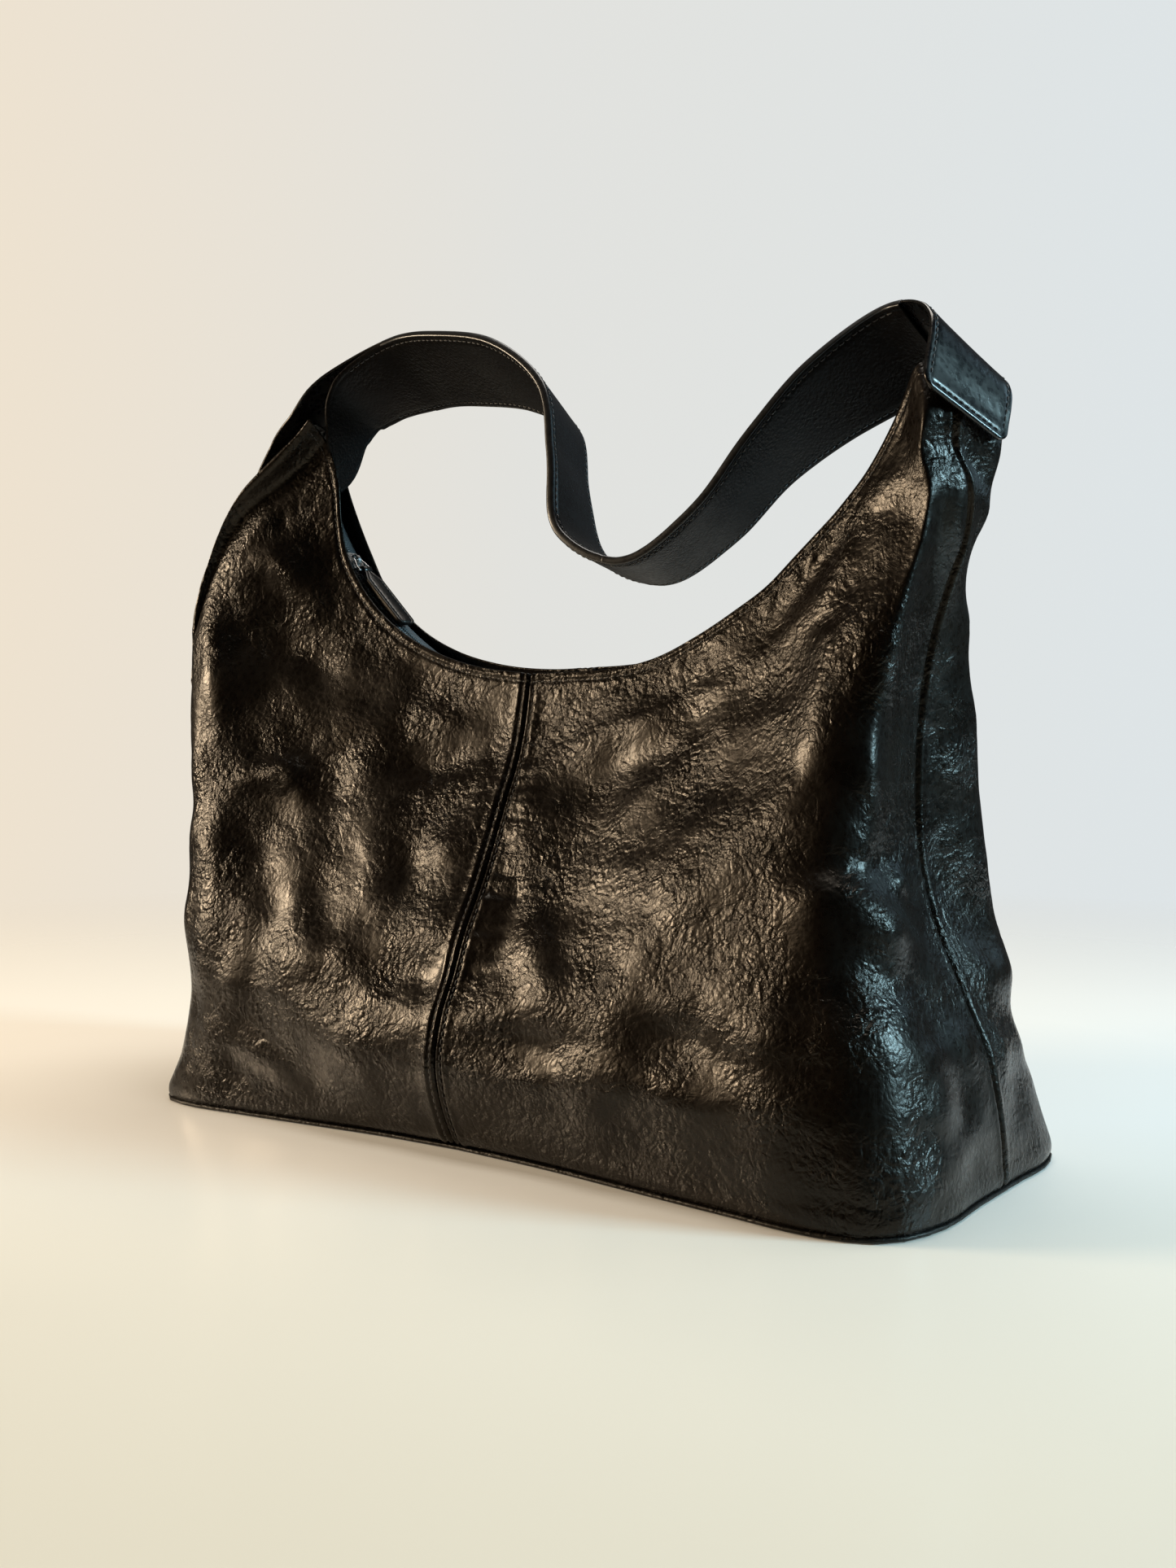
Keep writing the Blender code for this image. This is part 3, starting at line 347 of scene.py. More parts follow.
class Skin:
    """One quarter's leather: smooth surface, its relief and the distances to its edges."""

    def __init__(self, side, fb, pitch):
        self.side, self.fb = side, fb
        self.us = shares(235.0, pitch)
        self.vs = shares(320.0, pitch)
        P = quarter_grid(side, fb, self.us, self.vs)
        if side > 0:                                      # a soft turn from the face into the end
            S = P.copy()
            for _ in range(34 if pitch < 2.3 else 20):
                S[:, 1:-1] = 0.25 * S[:, :-2] + 0.5 * S[:, 1:-1] + 0.25 * S[:, 2:]
            k = ss((P[..., 2] - 70) / 120) * ss((self.us - 0.4) / 0.2)[None]
            P = P + k[..., None] * (S - P)
        self.P = P
        self.N = grid_normals(P, side, fb, soft=6)
        du = np.linalg.norm(np.diff(P, axis=1), axis=2)
        dv = np.linalg.norm(np.diff(P, axis=0), axis=2)
        cu = np.concatenate([np.zeros((len(self.vs), 1)), np.cumsum(du, axis=1)], axis=1)
        cv = np.concatenate([np.zeros((1, len(self.us))), np.cumsum(dv, axis=0)], axis=0)
        self.s0, self.s1 = cu, cu[:, -1:] - cu            # to the centre seam, to the side seam
        self.db, self.dl = cv, cv[-1:] - cv               # to the base, to the lip
        self.soft, self.fine = self.relief()
        n = self.N
        self.low = P + n * self.soft[..., None]           # without the finest creases, for what lies inside
        self.Q = P + n * (self.soft + self.fine)[..., None]

    def relief(self):
        P, side, fb = self.P, self.side, self.fb
        x, y, z = P[..., 0], P[..., 1], P[..., 2]
        s0, s1, db, dl = self.s0, self.s1, self.db, self.dl
        top = ss((330 - z) / 45)
        fade = (0.25 + 0.75 * ss(s0 / 16)) * (0.3 + 0.7 * ss(s1 / 14)) * ss(db / 22) * ss((dl - 2) / 20) * (0.35 + 0.65 * top)
        und = 2.4 * nz(P, 62, 3.1) + 1.7 * nz(P, 34, 7.7) + 0.55 * nz(P, 18, 1.3)
        h = und * fade
        h = h + 5.0 * nz(P, (60, 60, 26), 12.5) * np.exp(-((z - 62) / 34) ** 2) * ss(db / 16) * (0.3 + 0.7 * ss(s0 / 20)) * (0.3 + 0.7 * ss(s1 / 18))
        front = ss((-y - 2) / 12) if fb < 0 else np.zeros_like(x)
        if fb < 0:
            f = np.zeros_like(x)
            for pts, ht, a, b in FRONT_FOLDS:
                f += ridge(x, z, pts, ht, a, b)
            for c, ht, w, st, tn in FRONT_DOMES:
                f += dome(x, z, c, ht, w, st, tn)
            turn = 1 - ss((np.abs(x) - 165) / 20) if side > 0 else 1.0
            h = h + f * turn * (0.3 + 0.7 * ss(s0 / 8)) * ss(db / 14) * ss((dl - 1) / 10)
        else:
            f = np.zeros_like(x)
            for pts, ht, a, b in BACK_FOLDS:
                f += ridge(x, z, pts, ht, a, b)
            h = h + f * (0.3 + 0.7 * ss(s0 / 8)) * ss(db / 14) * ss((dl - 1) / 10) * ss(s1 / 30)
        if side > 0:
            f = np.zeros_like(x)
            for pts, ht, a, b in SIDE_FOLDS:
                f += ridge(y, z, pts, ht, a, b)
            for c, ht, w, st, tn in SIDE_DOMES:
                f += dome(y, z, c, ht, w, st, tn)
            h = h + f * ss((x - 138) / 26) * (0.35 + 0.65 * ss(s1 / 7)) * ss(db / 12)
        else:
            h = h + (1.8 * nz(P, (30, 16, 26), 4.4)) * ss((-150 - x) / 40) * ss(s1 / 8) * ss(db / 14) * ss(dl / 18)
        # creases: thin valleys along the zero lines of a noise, in two sizes, patchy
        patch = 0.45 + 0.55 * ss((nz(P, 48, 9.2) + 0.25) / 0.5)
        warp = np.stack([nz(P, 22, 2.0), nz(P, 22, 5.0), nz(P, 22, 8.0)], axis=-1) * 7.0
        c1 = nz(P + warp, (17, 17, 13), 0.4)
        c2 = nz(P + warp * 0.6, (8, 8, 6.5), 6.1)
        c3 = nz(P + warp * 0.4, 4.2, 3.7)
        edge = (0.35 + 0.65 * ss(s0 / 7)) * ss((dl - 4.5) / 4) * ss(db / 7) * (0.4 + 0.6 * ss(s1 / 5))
        cr = (-0.12 * np.exp(-(c1 / 0.05) ** 2) + 0.13 * np.abs(c1) - 0.05 * np.exp(-(c2 / 0.08) ** 2) + 0.05 * c2
              + 0.02 * c3) * patch * edge
        # puckers square to the seams
        along = np.stack([s0 / 22, z / 4.6, np.full_like(z, 2.0 * side + fb)], axis=-1)
        pk = nz(along, 1.0, 2.2) + 0.6 * nz(along * np.array([1.3, 1.9, 1.0]), 1.0, 5.5)
        strong = (0.55 + 0.45 * side) if fb < 0 else 0.5
        where = np.exp(-((z - 140) / 85) ** 2) * (0.6 + 0.5 * nz(np.stack([z / 26, z * 0, z * 0 + side], axis=-1), 1.0, 0.7))
        pucker = 2.1 * pk * strong * where * ss((s0 - 2.2) / 3.5) * np.exp(-np.maximum(s0 - 6, 0) / 9.0)
        lipline = np.stack([x / 4.2, dl / 14, np.full_like(x, 5.0 * fb)], axis=-1)
        lp = nz(lipline, 1.0, 4.9)
        bias = 0.35 + 0.65 * ss((x - 20) / 70) if fb < 0 else 0.45
        pucker = pucker + 1.3 * lp * bias * ss((dl - 4.6) / 3) * np.exp(-np.maximum(dl - 8, 0) / 8.0) * ss((325 - z) / 20)
        # turned edges and stitching channels
        seam = (-1.15 * np.exp(-(s0 / 0.75) ** 2) + 0.55 * np.exp(-((s0 - 1.9) / 0.8) ** 2)
                - 0.75 * np.exp(-((s0 - 3.5) / 0.7) ** 2) + 0.70 * np.exp(-((s0 - 5.6) / 1.6) ** 2))
        welt = -1.5 * np.exp(-(s1 / 1.3) ** 2) + 0.45 * np.exp(-((s1 - 3.2) / 1.7) ** 2)
        lip = (0.30 * np.exp(-((dl - 1.9) / 1.2) ** 2) - 0.42 * np.exp(-((dl - 4.1) / 0.8) ** 2)
               + 0.22 * np.exp(-((dl - 6.2) / 1.4) ** 2)) * ss((335 - z) / 15)
        foot = -0.9 * np.exp(-(db / 1.3) ** 2) + 0.45 * np.exp(-((db - 5.5) / 3.2) ** 2)
        h = np.clip(h, -5.0, 5.0)
        return h + seam * 0.6 + welt * 0.6 + foot * 0.6, cr + pucker + seam * 0.4 + welt * 0.4 + lip + foot * 0.4

    def along_seam(self, dist, key="s0", what=None):
        """The line on the leather at a distance from the centre or side seam, base to lip, with its normals."""
        src = self.Q if what is None else what
        d = getattr(self, key)
        pts, nrm = [], []
        for i in range(len(self.vs)):
            row = d[i] if key == "s0" else d[i][::-1]
            for k, (store, a) in enumerate(((pts, src), (nrm, self.N))):
                r = a[i] if key == "s0" else a[i][::-1]
                store.append([np.interp(dist, row, r[:, c]) for c in range(3)])
        return np.array(pts), np.array(nrm)

    def along_lip(self, dist, u1=0.80, key="dl"):
        pts, nrm = [], []
        for j in range(len(self.us)):
            if self.us[j] > u1:
                break
            col = self.dl[:, j][::-1]
            pts.append([np.interp(dist, col, self.Q[::-1, j, c]) for c in range(3)])
            nrm.append([np.interp(dist, col, self.N[::-1, j, c]) for c in range(3)])
        return np.array(pts), np.array(nrm)


# ------------------------------------------------------------------ materials
class Nodes:
    """A short way to write a node tree."""

    def __init__(self, name):
        self.mat = bpy.data.materials.new(name)
        self.mat.use_nodes = True
        self.t = self.mat.node_tree
        self.b = self.t.nodes["Principled BSDF"]
        self.co = self.add("ShaderNodeTexCoord").outputs["Object"]

    def add(self, kind, **props):
        n = self.t.nodes.new(kind)
        for k, v in props.items():
            setattr(n, k, v)
        return n

    def link(self, a, b):
        self.t.links.new(a, b)

    def put(self, sock, v):
        if isinstance(v, (int, float, tuple, list)):
            sock.default_value = v
        else:
            self.link(v, sock)

    def scaled(self, s, turn=(0, 0, 0)):
        m = self.add("ShaderNodeMapping")
        m.inputs["Scale"].default_value = s if isinstance(s, tuple) else (s, s, s)
        m.inputs["Rotation"].default_value = turn
        self.link(self.co, m.inputs["Vector"])
        return m.outputs["Vector"]

    def noise(self, scale, detail=4.0, rough=0.55, vec=None, distort=0.0):
        n = self.add("ShaderNodeTexNoise")
        n.inputs["Scale"].default_value = scale
        n.inputs["Detail"].default_value = detail
        n.inputs["Roughness"].default_value = rough
        n.inputs["Distortion"].default_value = distort
        self.link(vec if vec is not None else self.co, n.inputs["Vector"])
        return n.outputs["Fac"]

    def voronoi(self, scale, feature="F1", vec=None, rand=1.0):
        n = self.add("ShaderNodeTexVoronoi", feature=feature)
        n.inputs["Scale"].default_value = scale
        n.inputs["Randomness"].default_value = rand
        self.link(vec if vec is not None else self.co, n.inputs["Vector"])
        return n.outputs["Distance"]

    def warp(self, scale, amount):
        """Object coordinates pushed about by a noise, in metres."""
        n = self.add("ShaderNodeTexNoise")
        n.inputs["Scale"].default_value = scale
        n.inputs["Detail"].default_value = 2.0
        self.link(self.co, n.inputs["Vector"])
        m = self.add("ShaderNodeVectorMath", operation="MULTIPLY_ADD")
        self.link(n.outputs["Color"], m.inputs[0])
        m.inputs[1].default_value = (amount, amount, amount)
        self.link(self.co, m.inputs[2])
        return m.outputs[0]

    def math(self, op, a, b=None, c=None):
        n = self.add("ShaderNodeMath", operation=op)
        for s, v in zip(n.inputs, (a, b, c)):
            if v is not None:
                self.put(s, v)
        return n.outputs[0]

    def ramp(self, fac, *stops):
        n = self.add("ShaderNodeValToRGB")
        e = n.color_ramp.elements
        while len(e) < len(stops):
            e.new(0.5)
        for el, (pos, col) in zip(e, stops):
            el.position = pos
            el.color = (*col, 1.0) if isinstance(col, tuple) else (col, col, col, 1.0)
        self.link(fac, n.inputs["Fac"])
        return n.outputs["Color"]

    def spread(self, fac, lo, hi, a=0.3, b=0.7):
        n = self.add("ShaderNodeMapRange")
        self.link(fac, n.inputs["Value"])
        for k, v in (("From Min", a), ("From Max", b), ("To Min", lo), ("To Max", hi)):
            n.inputs[k].default_value = v
        return n.outputs["Result"]

    def bump(self, height, dist, strength=1.0, after=None):
        n = self.add("ShaderNodeBump")
        n.inputs["Strength"].default_value = strength
        n.inputs["Distance"].default_value = dist
        self.link(height, n.inputs["Height"])
        if after is not None:
            self.link(after, n.inputs["Normal"])
        return n.outputs["Normal"]

    def out(self, **kw):
        for k, v in kw.items():
            self.put(self.b.inputs[k.replace("_", " ")], v)
        return self.mat


def leather(name, dark, light, rough, grain=1.0, coat=0.35, pebble=330.0, crease=1.0, coat_rough=0.16, spec=0.34):
    """Glazed leather: pebbles between fine creases, longer creases across them, patchy gloss."""
    n = Nodes(name)
    w = n.warp(95.0, 0.0035)
    cells = n.voronoi(pebble, vec=w)
    cells2 = n.voronoi(pebble * 2.1, vec=w)
    lines = n.voronoi(pebble * 0.36, feature="DISTANCE_TO_EDGE", vec=n.warp(60.0, 0.010))
    lines = n.ramp(lines, (0.0, 0.0), (0.10, 0.8), (0.35, 1.0))
    big = n.noise(42.0, 6.0, 0.62, distort=0.6)
    folds = n.math("ABSOLUTE", n.math("SUBTRACT", n.noise(75.0, 5.0, 0.6, distort=1.2), 0.5))
    folds = n.spread(folds, 0.0, 1.0, 0.0, 0.09)
    mask = n.spread(n.noise(26.0, 2.0), 0.25, 1.0, 0.38, 0.62)
    pores = n.noise(900.0, 2.0, 0.5)
    b = n.bump(pores, 0.00006 * grain, 0.5)
    b = n.bump(n.math("MULTIPLY", cells2, mask), -0.00018 * grain, 0.9, b)
    b = n.bump(n.math("MULTIPLY", cells, mask), -0.00042 * grain, 0.9, b)
    b = n.bump(n.math("MULTIPLY", lines, mask), 0.00022 * crease, 0.8, b)
    b = n.bump(n.math("MULTIPLY", folds, mask), 0.00022 * crease, 0.8, b)
    tone = n.math("ADD", n.math("MULTIPLY", big, 0.6), n.math("MULTIPLY", n.noise(11.0, 3.0), 0.4))
    colour = n.ramp(tone, (0.34, dark), (0.66, light))
    rr = n.math("ADD", n.spread(n.noise(30.0, 4.0, 0.6), rough - 0.06, rough + 0.09), n.spread(cells, 0.0, 0.10, 0.1, 0.7))
    return n.out(Base_Color=colour, Roughness=rr, Normal=b, Coat_Weight=coat, Coat_Roughness=coat_rough,
                 Coat_Normal=b, Specular_IOR_Level=spec, Specular_Tint=(1.0, 0.86, 0.70, 1.0))


def weave(name, dark, light, pitch, rough=0.85, sheen=0.25, depth=0.00025):
    n = Nodes(name)
    f = 2 * math.pi / pitch
    sep = n.add("ShaderNodeSeparateXYZ")
    n.link(n.warp(80.0, 0.0006), sep.inputs[0])
    sx = n.math("SINE", n.math("MULTIPLY", n.math("ADD", sep.outputs[0], sep.outputs[1]), f))
    sz = n.math("SINE", n.math("MULTIPLY", n.math("ADD", sep.outputs[2], n.math("MULTIPLY", sep.outputs[1], 0.35)), f))
    wv = n.math("MULTIPLY", sx, sz)
    b = n.bump(wv, depth, 0.9)
    tone = n.math("ADD", n.math("MULTIPLY", n.spread(wv, 0.0, 1.0, -1.0, 1.0), 0.5), n.math("MULTIPLY", n.noise(35.0, 4.0), 0.5))
    return n.out(Base_Color=n.ramp(tone, (0.3, dark), (0.75, light)), Roughness=rough, Normal=b, Sheen_Weight=sheen)


def metal(name, colour, rough):
    n = Nodes(name)
    scr = n.noise(1.0, 3.0, 0.6, vec=n.scaled((900.0, 260.0, 900.0)))
    tone = n.ramp(n.noise(140.0, 3.0), (0.3, tuple(c * 0.72 for c in colour)), (0.7, colour))
    return n.out(Base_Color=tone, Metallic=1.0, Roughness=n.spread(scr, rough, rough + 0.16), Normal=n.bump(scr, 0.00003, 0.6))


BODY = leather("leather_body", (0.0018, 0.0012, 0.0009), (0.0058, 0.0038, 0.0024), 0.215, grain=0.9, coat=0.07, crease=0.9, spec=0.20)
BASE = leather("leather_base", (0.0020, 0.0016, 0.0013), (0.0045, 0.0035, 0.0028), 0.36, coat=0.05, spec=0.25)
STRAP_OUT = leather("leather_strap", (0.0010, 0.0012, 0.0016), (0.0022, 0.0024, 0.0030), 0.20, grain=0.12, coat=0.3, crease=0.10, spec=0.3)
STRAP_IN = leather("leather_strap_backing", (0.0012, 0.0011, 0.0013), (0.0028, 0.0025, 0.0026), 0.36, grain=0.8, coat=0.02,
                   pebble=620.0, crease=0.2, spec=0.06)
PULL = leather("leather_pull", (0.0014, 0.0013, 0.0013), (0.0030, 0.0028, 0.0027), 0.26, grain=0.3, coat=0.2, crease=0.25, spec=0.2)
FACING = leather("leather_facing", (0.0045, 0.0036, 0.003), (0.009, 0.0075, 0.006), 0.42, grain=0.6, coat=0.1)


def edge_paint():
    n = Nodes("edge_paint")
    lump = n.noise(420.0, 3.0)
    return n.out(Base_Color=n.ramp(n.noise(60.0), (0.3, (0.002, 0.0019, 0.002)), (0.7, (0.004, 0.0036, 0.0036))),
                 Roughness=n.spread(lump, 0.30, 0.42), Normal=n.bump(lump, 0.00004, 0.5), Coat_Weight=0.15, Coat_Roughness=0.2)


def thread(name, c):
    n = Nodes(name)
    tw = n.add("ShaderNodeTexWave", wave_type="BANDS", bands_direction="DIAGONAL")
    tw.inputs["Scale"].default_value = 900.0
    tw.inputs["Distortion"].default_value = 1.0
    n.link(n.co, tw.inputs["Vector"])
    return n.out(Base_Color=n.ramp(tw.outputs["Fac"], (0.2, tuple(x * 0.6 for x in c)), (0.8, c)), Roughness=0.55,
                 Normal=n.bump(tw.outputs["Fac"], 0.0001, 0.8), Sheen_Weight=0.3)


def board():
    n = Nodes("fibre_board")
    f = n.noise(260.0, 5.0, 0.7)
    return n.out(Base_Color=n.ramp(f, (0.3, (0.020, 0.017, 0.014)), (0.7, (0.040, 0.034, 0.028))), Roughness=0.85,
                 Normal=n.bump(f, 0.0002, 0.7))


def plastic(name, c, rough):
    n = Nodes(name)
    f = n.noise(500.0, 3.0)
    return n.out(Base_Color=n.ramp(f, (0.3, tuple(x * 0.8 for x in c)), (0.7, c)), Roughness=n.spread(f, rough, rough + 0.1),
                 Normal=n.bump(f, 0.00004, 0.5))


PAINT = edge_paint()
THREAD = thread("thread_dark", (0.022, 0.017, 0.013))
LINING = weave("lining_cloth", (0.030, 0.024, 0.019), (0.075, 0.062, 0.050), 0.0011)
TAPE = weave("zip_tape_cloth", (0.010, 0.0095, 0.009), (0.030, 0.028, 0.026), 0.0009, rough=0.8)
BOARD = board()
COIL = plastic("zip_coil", (0.10, 0.095, 0.09), 0.30)
METAL = metal("zip_metal", (0.62, 0.60, 0.57), 0.20)


# ------------------------------------------------------------------ mesh helpers
def piece(name, verts, faces, mats, body, hides=(), blend=None, angle=None, index=None):
    """A finished mesh in metres from millimetres, riding on its body; with blend given it is baked into world space and
    rides on no body.
    """
    me = bpy.data.meshes.new(name)
    me.from_pydata((np.asarray(verts, float) * MM).tolist(), [], faces)
    bm = bmesh.new()
    bm.from_mesh(me)
    bmesh.ops.recalc_face_normals(bm, faces=bm.faces)
    bm.to_mesh(me)
    bm.free()
    me.shade_smooth()
    if angle:
        me.set_sharp_from_angle(angle=math.radians(angle))
    for m in (mats if isinstance(mats, (list, tuple)) else [mats]):
        me.materials.append(m)
    if index is not None:
        me.polygons.foreach_set("material_index", index)
    ob = bpy.data.objects.new(name, me)
    bpy.context.collection.objects.link(ob)
    if blend:
        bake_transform(ob)
    else:
        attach(ob, body)
    if hides:
        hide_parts(*hides)
    return ob


def wrapped(outer, inner, lips=0.3):
    """Closed sheet from two equal grids, its rims rounded by one extra row top and bottom and closed flat at both
    sides.
    """
    nv, nu = outer.shape[:2]
    up = outer[-1] - outer[-2]
    up /= np.linalg.norm(up, axis=1, keepdims=True) + 1e-9
    dn = outer[0] - outer[1]
    dn /= np.linalg.norm(dn, axis=1, keepdims=True) + 1e-9
    top, bot = (outer[-1] + inner[-1]) / 2 + up * lips, (outer[0] + inner[0]) / 2 + dn * lips
    ring = np.concatenate([outer, top[None], inner[::-1], bot[None]], axis=0)      # rows round the sheet
    k = ring.shape[0]
    verts = ring.reshape(-1, 3)
    faces = []
    for i in range(k):
        a, b = i * nu, ((i + 1) % k) * nu
        faces += [(a + j, a + j + 1, b + j + 1, b + j) for j in range(nu - 1)]
    for j in (0, nu - 1):                                # the two side rims
        o = [i * nu + j for i in range(nv)]
        t = nv * nu + j
        n = [(nv + 1 + nv - 1 - i) * nu + j for i in range(nv)]
        bt = (k - 1) * nu + j
        for i in range(nv - 1):
            faces.append((o[i], o[i + 1], n[i + 1], n[i]))
        faces.append((o[-1], t, n[-1]))
        faces.append((o[0], n[0], bt))
    return verts, faces


def resample(pts, pitch, extra=None):
    pts = np.asarray(pts, float)
    d = np.concatenate([[0], np.cumsum(np.linalg.norm(np.diff(pts, axis=0), axis=1))])
    n = max(2, int(round(d[-1] / pitch)) + 1)
    s = np.linspace(0, d[-1], n)
    out = np.stack([np.interp(s, d, pts[:, c]) for c in range(3)], axis=1)
    if extra is None:
        return out
    extra = np.asarray(extra, float)
    return out, np.stack([np.interp(s, d, extra[:, c]) for c in range(extra.shape[1])], axis=1)


def unit(a):
    return a / (np.linalg.norm(a, axis=-1, keepdims=True) + 1e-12)


def stitches(rows, pitch=3.4, length=2.6, r=0.30, lift=0.10):
    """Sewn stitches along rows of (points, normals): short threads that dip into the leather at both ends."""
    verts, faces = [], []
    prof = [(-0.5, 0.45, -0.30), (-0.34, 0.95, 0.02), (0.0, 1.0, 0.14), (0.34, 0.95, 0.02), (0.5, 0.45, -0.30)]
    for pts, nrm in rows:
        p, n = resample(pts, pitch, nrm)
        n = unit(n)
        t = unit(np.gradient(p, axis=0))
        b = unit(np.cross(t, n))
        for i in range(1, len(p) - 1):
            base = len(verts)
            for s, w, up in prof:
                c = p[i] + t[i] * (s * length) + n[i] * (up + lift)
                for k in range(6):
                    a = math.pi * k / 3
                    verts.append(c + (b[i] * math.cos(a) + n[i] * math.sin(a) * 0.8) * (r * w))
            for q in range(4):
                for k in range(6):
                    l = (k + 1) % 6
                    faces.append((base + q * 6 + k, base + q * 6 + l, base + q * 6 + 6 + l, base + q * 6 + 6 + k))
            faces.append(tuple(base + k for k in range(5, -1, -1)))
            faces.append(tuple(base + 24 + k for k in range(6)))
    return verts, faces


def tube(rings):
    n = len(rings[0])
    verts = [p for r in rings for p in r]
    faces = [tuple(range(n - 1, -1, -1)), tuple(range((len(rings) - 1) * n, len(rings) * n))]
    for i in range(len(rings) - 1):
        for j in range(n):
            a, b = i * n + j, i * n + (j + 1) % n
            faces.append((a, b, b + n, a + n))
    return verts, faces


def merged(*parts):
    verts, faces = [], []
    for v, f in parts:
        off = len(verts)
        verts += list(v)
        faces += [tuple(off + i for i in q) for q in f]
    return verts, faces


# ------------------------------------------------------------------ leather body
FINE = 2.0
SKINS = {}
for s, f in ((-1, -1), (1, -1), (-1, 1), (1, 1)):
    SKINS[(s, f)] = Skin(s, f, FINE if f < 0 else 2.6)
NAMES = {(-1, -1): "front_left", (1, -1): "front_right", (-1, 1): "back_left", (1, 1): "back_right"}
for key, sk in SKINS.items():
    s, f = key
    out = sk.Q.copy()
    out[:, 0, 0] += s * SEAM_GAP * 0.4
    out[:, -1, 1] += f * SEAM_GAP * 0.4
    inn = sk.low - sk.N * (1.3 + 0.0 * sk.soft[..., None])
    inn[:, 0, 0] += s * SEAM_GAP * 0.4
    inn[:, -1, 1] += f * SEAM_GAP * 0.4
    v, fc = wrapped(out, inn, 0.35)
    piece("leather_" + NAMES[key], v, fc, BODY, "bag", (NAMES[key] + "_panel",))

# seam allowances behind the four seams, so that no light shows through
for nm, a, b, key in (("front", (-1, -1), (1, -1), "s0"), ("back", (-1, 1), (1, 1), "s0"),
                      ("left", (-1, -1), (-1, 1), "s1"), ("right", (1, -1), (1, 1), "s1")):
    cols = []
    for q, ds in ((a, (4.5, 2.5, 1.2, 0.3)), (b, (0.3, 1.2, 2.5, 4.5))):
        for d in ds:
            p, n = SKINS[q].along_seam(d, key, SKINS[q].low)
            p, n = resample(p, 4.0, n)
            cols.append((p, unit(n)))
    m = min(len(c[0]) for c in cols)
    pts = np.array([resample(c[0], 1e-9 + np.sum(np.linalg.norm(np.diff(c[0], axis=0), axis=1)) / (m - 1))[:m] for c in cols])
    nrm = np.array([c[1][:m] for c in cols])
    if key == "s1":
        pts, nrm = pts[:, : int(m * 0.93)], nrm[:, : int(m * 0.93)]
    o = (pts - nrm * 1.45).transpose(1, 0, 2)
    i = (pts - nrm * 2.15).transpose(1, 0, 2)
    v, fc = wrapped(o, i, 0.1)
    piece("seam_allowance_" + nm, v, fc, FACING, "bag")

# topstitching: two rows on each centre seam, one row round the mouth
rows = []
for q in ((-1, -1), (1, -1), (-1, 1), (1, 1)):
    p, n = SKINS[q].along_seam(3.1)
    k = np.linalg.norm(p - p[-1], axis=1) > 5.0
    rows.append((p[k], n[k]))
v, fc = stitches(rows)
piece("stitches_centre_seams", v, fc, THREAD, "bag")
rows = []
for f in (-1, 1):
    (pl, nl), (pr, nr) = SKINS[(-1, f)].along_lip(4.1), SKINS[(1, f)].along_lip(4.1)
    rows.append((np.concatenate([pl[::-1], pr[1:]]), np.concatenate([nl[::-1], nr[1:]])))
v, fc = stitches(rows)
piece("stitches_mouth", v, fc, THREAD, "bag")


# ------------------------------------------------------------------ linings and facings, following the leather
def inside(name, fb, v0, v1, u1, depth, thick, mat, node):
    outs, ins = [], []
    for side in (-1, 1):
        sk = SKINS[(side, fb)]
        rs = [i for i in range(0, len(sk.vs), 3) if v0 <= sk.vs[i] <= v1]
        cs = [j for j in range(0, len(sk.us), 3) if sk.us[j] <= u1]
        if u1 >= 0.999 and cs[-1] != len(sk.us) - 1:
            cs.append(len(sk.us) - 1)
        u = sk.us[cs]
        slack = np.where(u > 0.7, 3.2 * np.sin(np.pi * (u - 0.7) / 0.3), 0.0)[None, :, None]
        g, n = sk.low[np.ix_(rs, cs)], blur(sk.N, 8)[np.ix_(rs, cs)]
        n = unit(n)
        rip = (0.5 * nz(g, 14, 3.3))[..., None]
        o, i = g - n * (depth + slack + rip), g - n * (depth + slack + rip + thick)
        if side < 0:                                      # hangs clear of the narrow corner under the left peak
            k = ss((u - 0.55) / 0.2)[None] * ss((g[..., 2] - 185) / 25)
            for a in (o, i):
                a[..., 0] += 11.0 * k
                a[..., 1] *= 1 - 0.22 * k
        if side < 0:
            o, i = o[:, ::-1], i[:, ::-1]
            outs.append(o), ins.append(i)
        else:
            outs.append(o[:, 1:]), ins.append(i[:, 1:])
    v, fc = wrapped(np.concatenate(outs, axis=1), np.concatenate(ins, axis=1), 0.1)
    piece(name, v, fc, mat, "bag", (node,))


for f, w in ((-1, "front"), (1, "back")):
    inside("cloth_lining_" + w, f, 0.045, 0.815, 1.0, 2.9, 0.7, LINING, "lining_" + w)
    inside("leather_facing_" + w, f, 0.82, 0.985, 0.60, 2.1, 0.8, FACING, "mouth_facing_" + w)


# ------------------------------------------------------------------ base
def outline(inset, n=26):
    pts = []
    for side, fb, rev in ((-1, -1, True), (1, -1, False), (1, 1, True), (-1, 1, False)):
        row = [base_edge(side, fb)(k / n) for k in range(n + 1)]
        if rev:
            row = row[::-1]
        pts += row
    out = []
    for p in pts:
        if not out or (p - out[-1]).length > 0.5:
            out.append(p)
    if (out[0] - out[-1]).length < 0.5:
        out.pop()
    m = len(out)
    res = []
    for i, p in enumerate(out):
        t = out[(i + 1) % m] - out[i - 1]
        res.append(p + Vector((-t.y, t.x, 0)).normalized() * inset)
    return np.array([(p.x, p.y) for p in res])


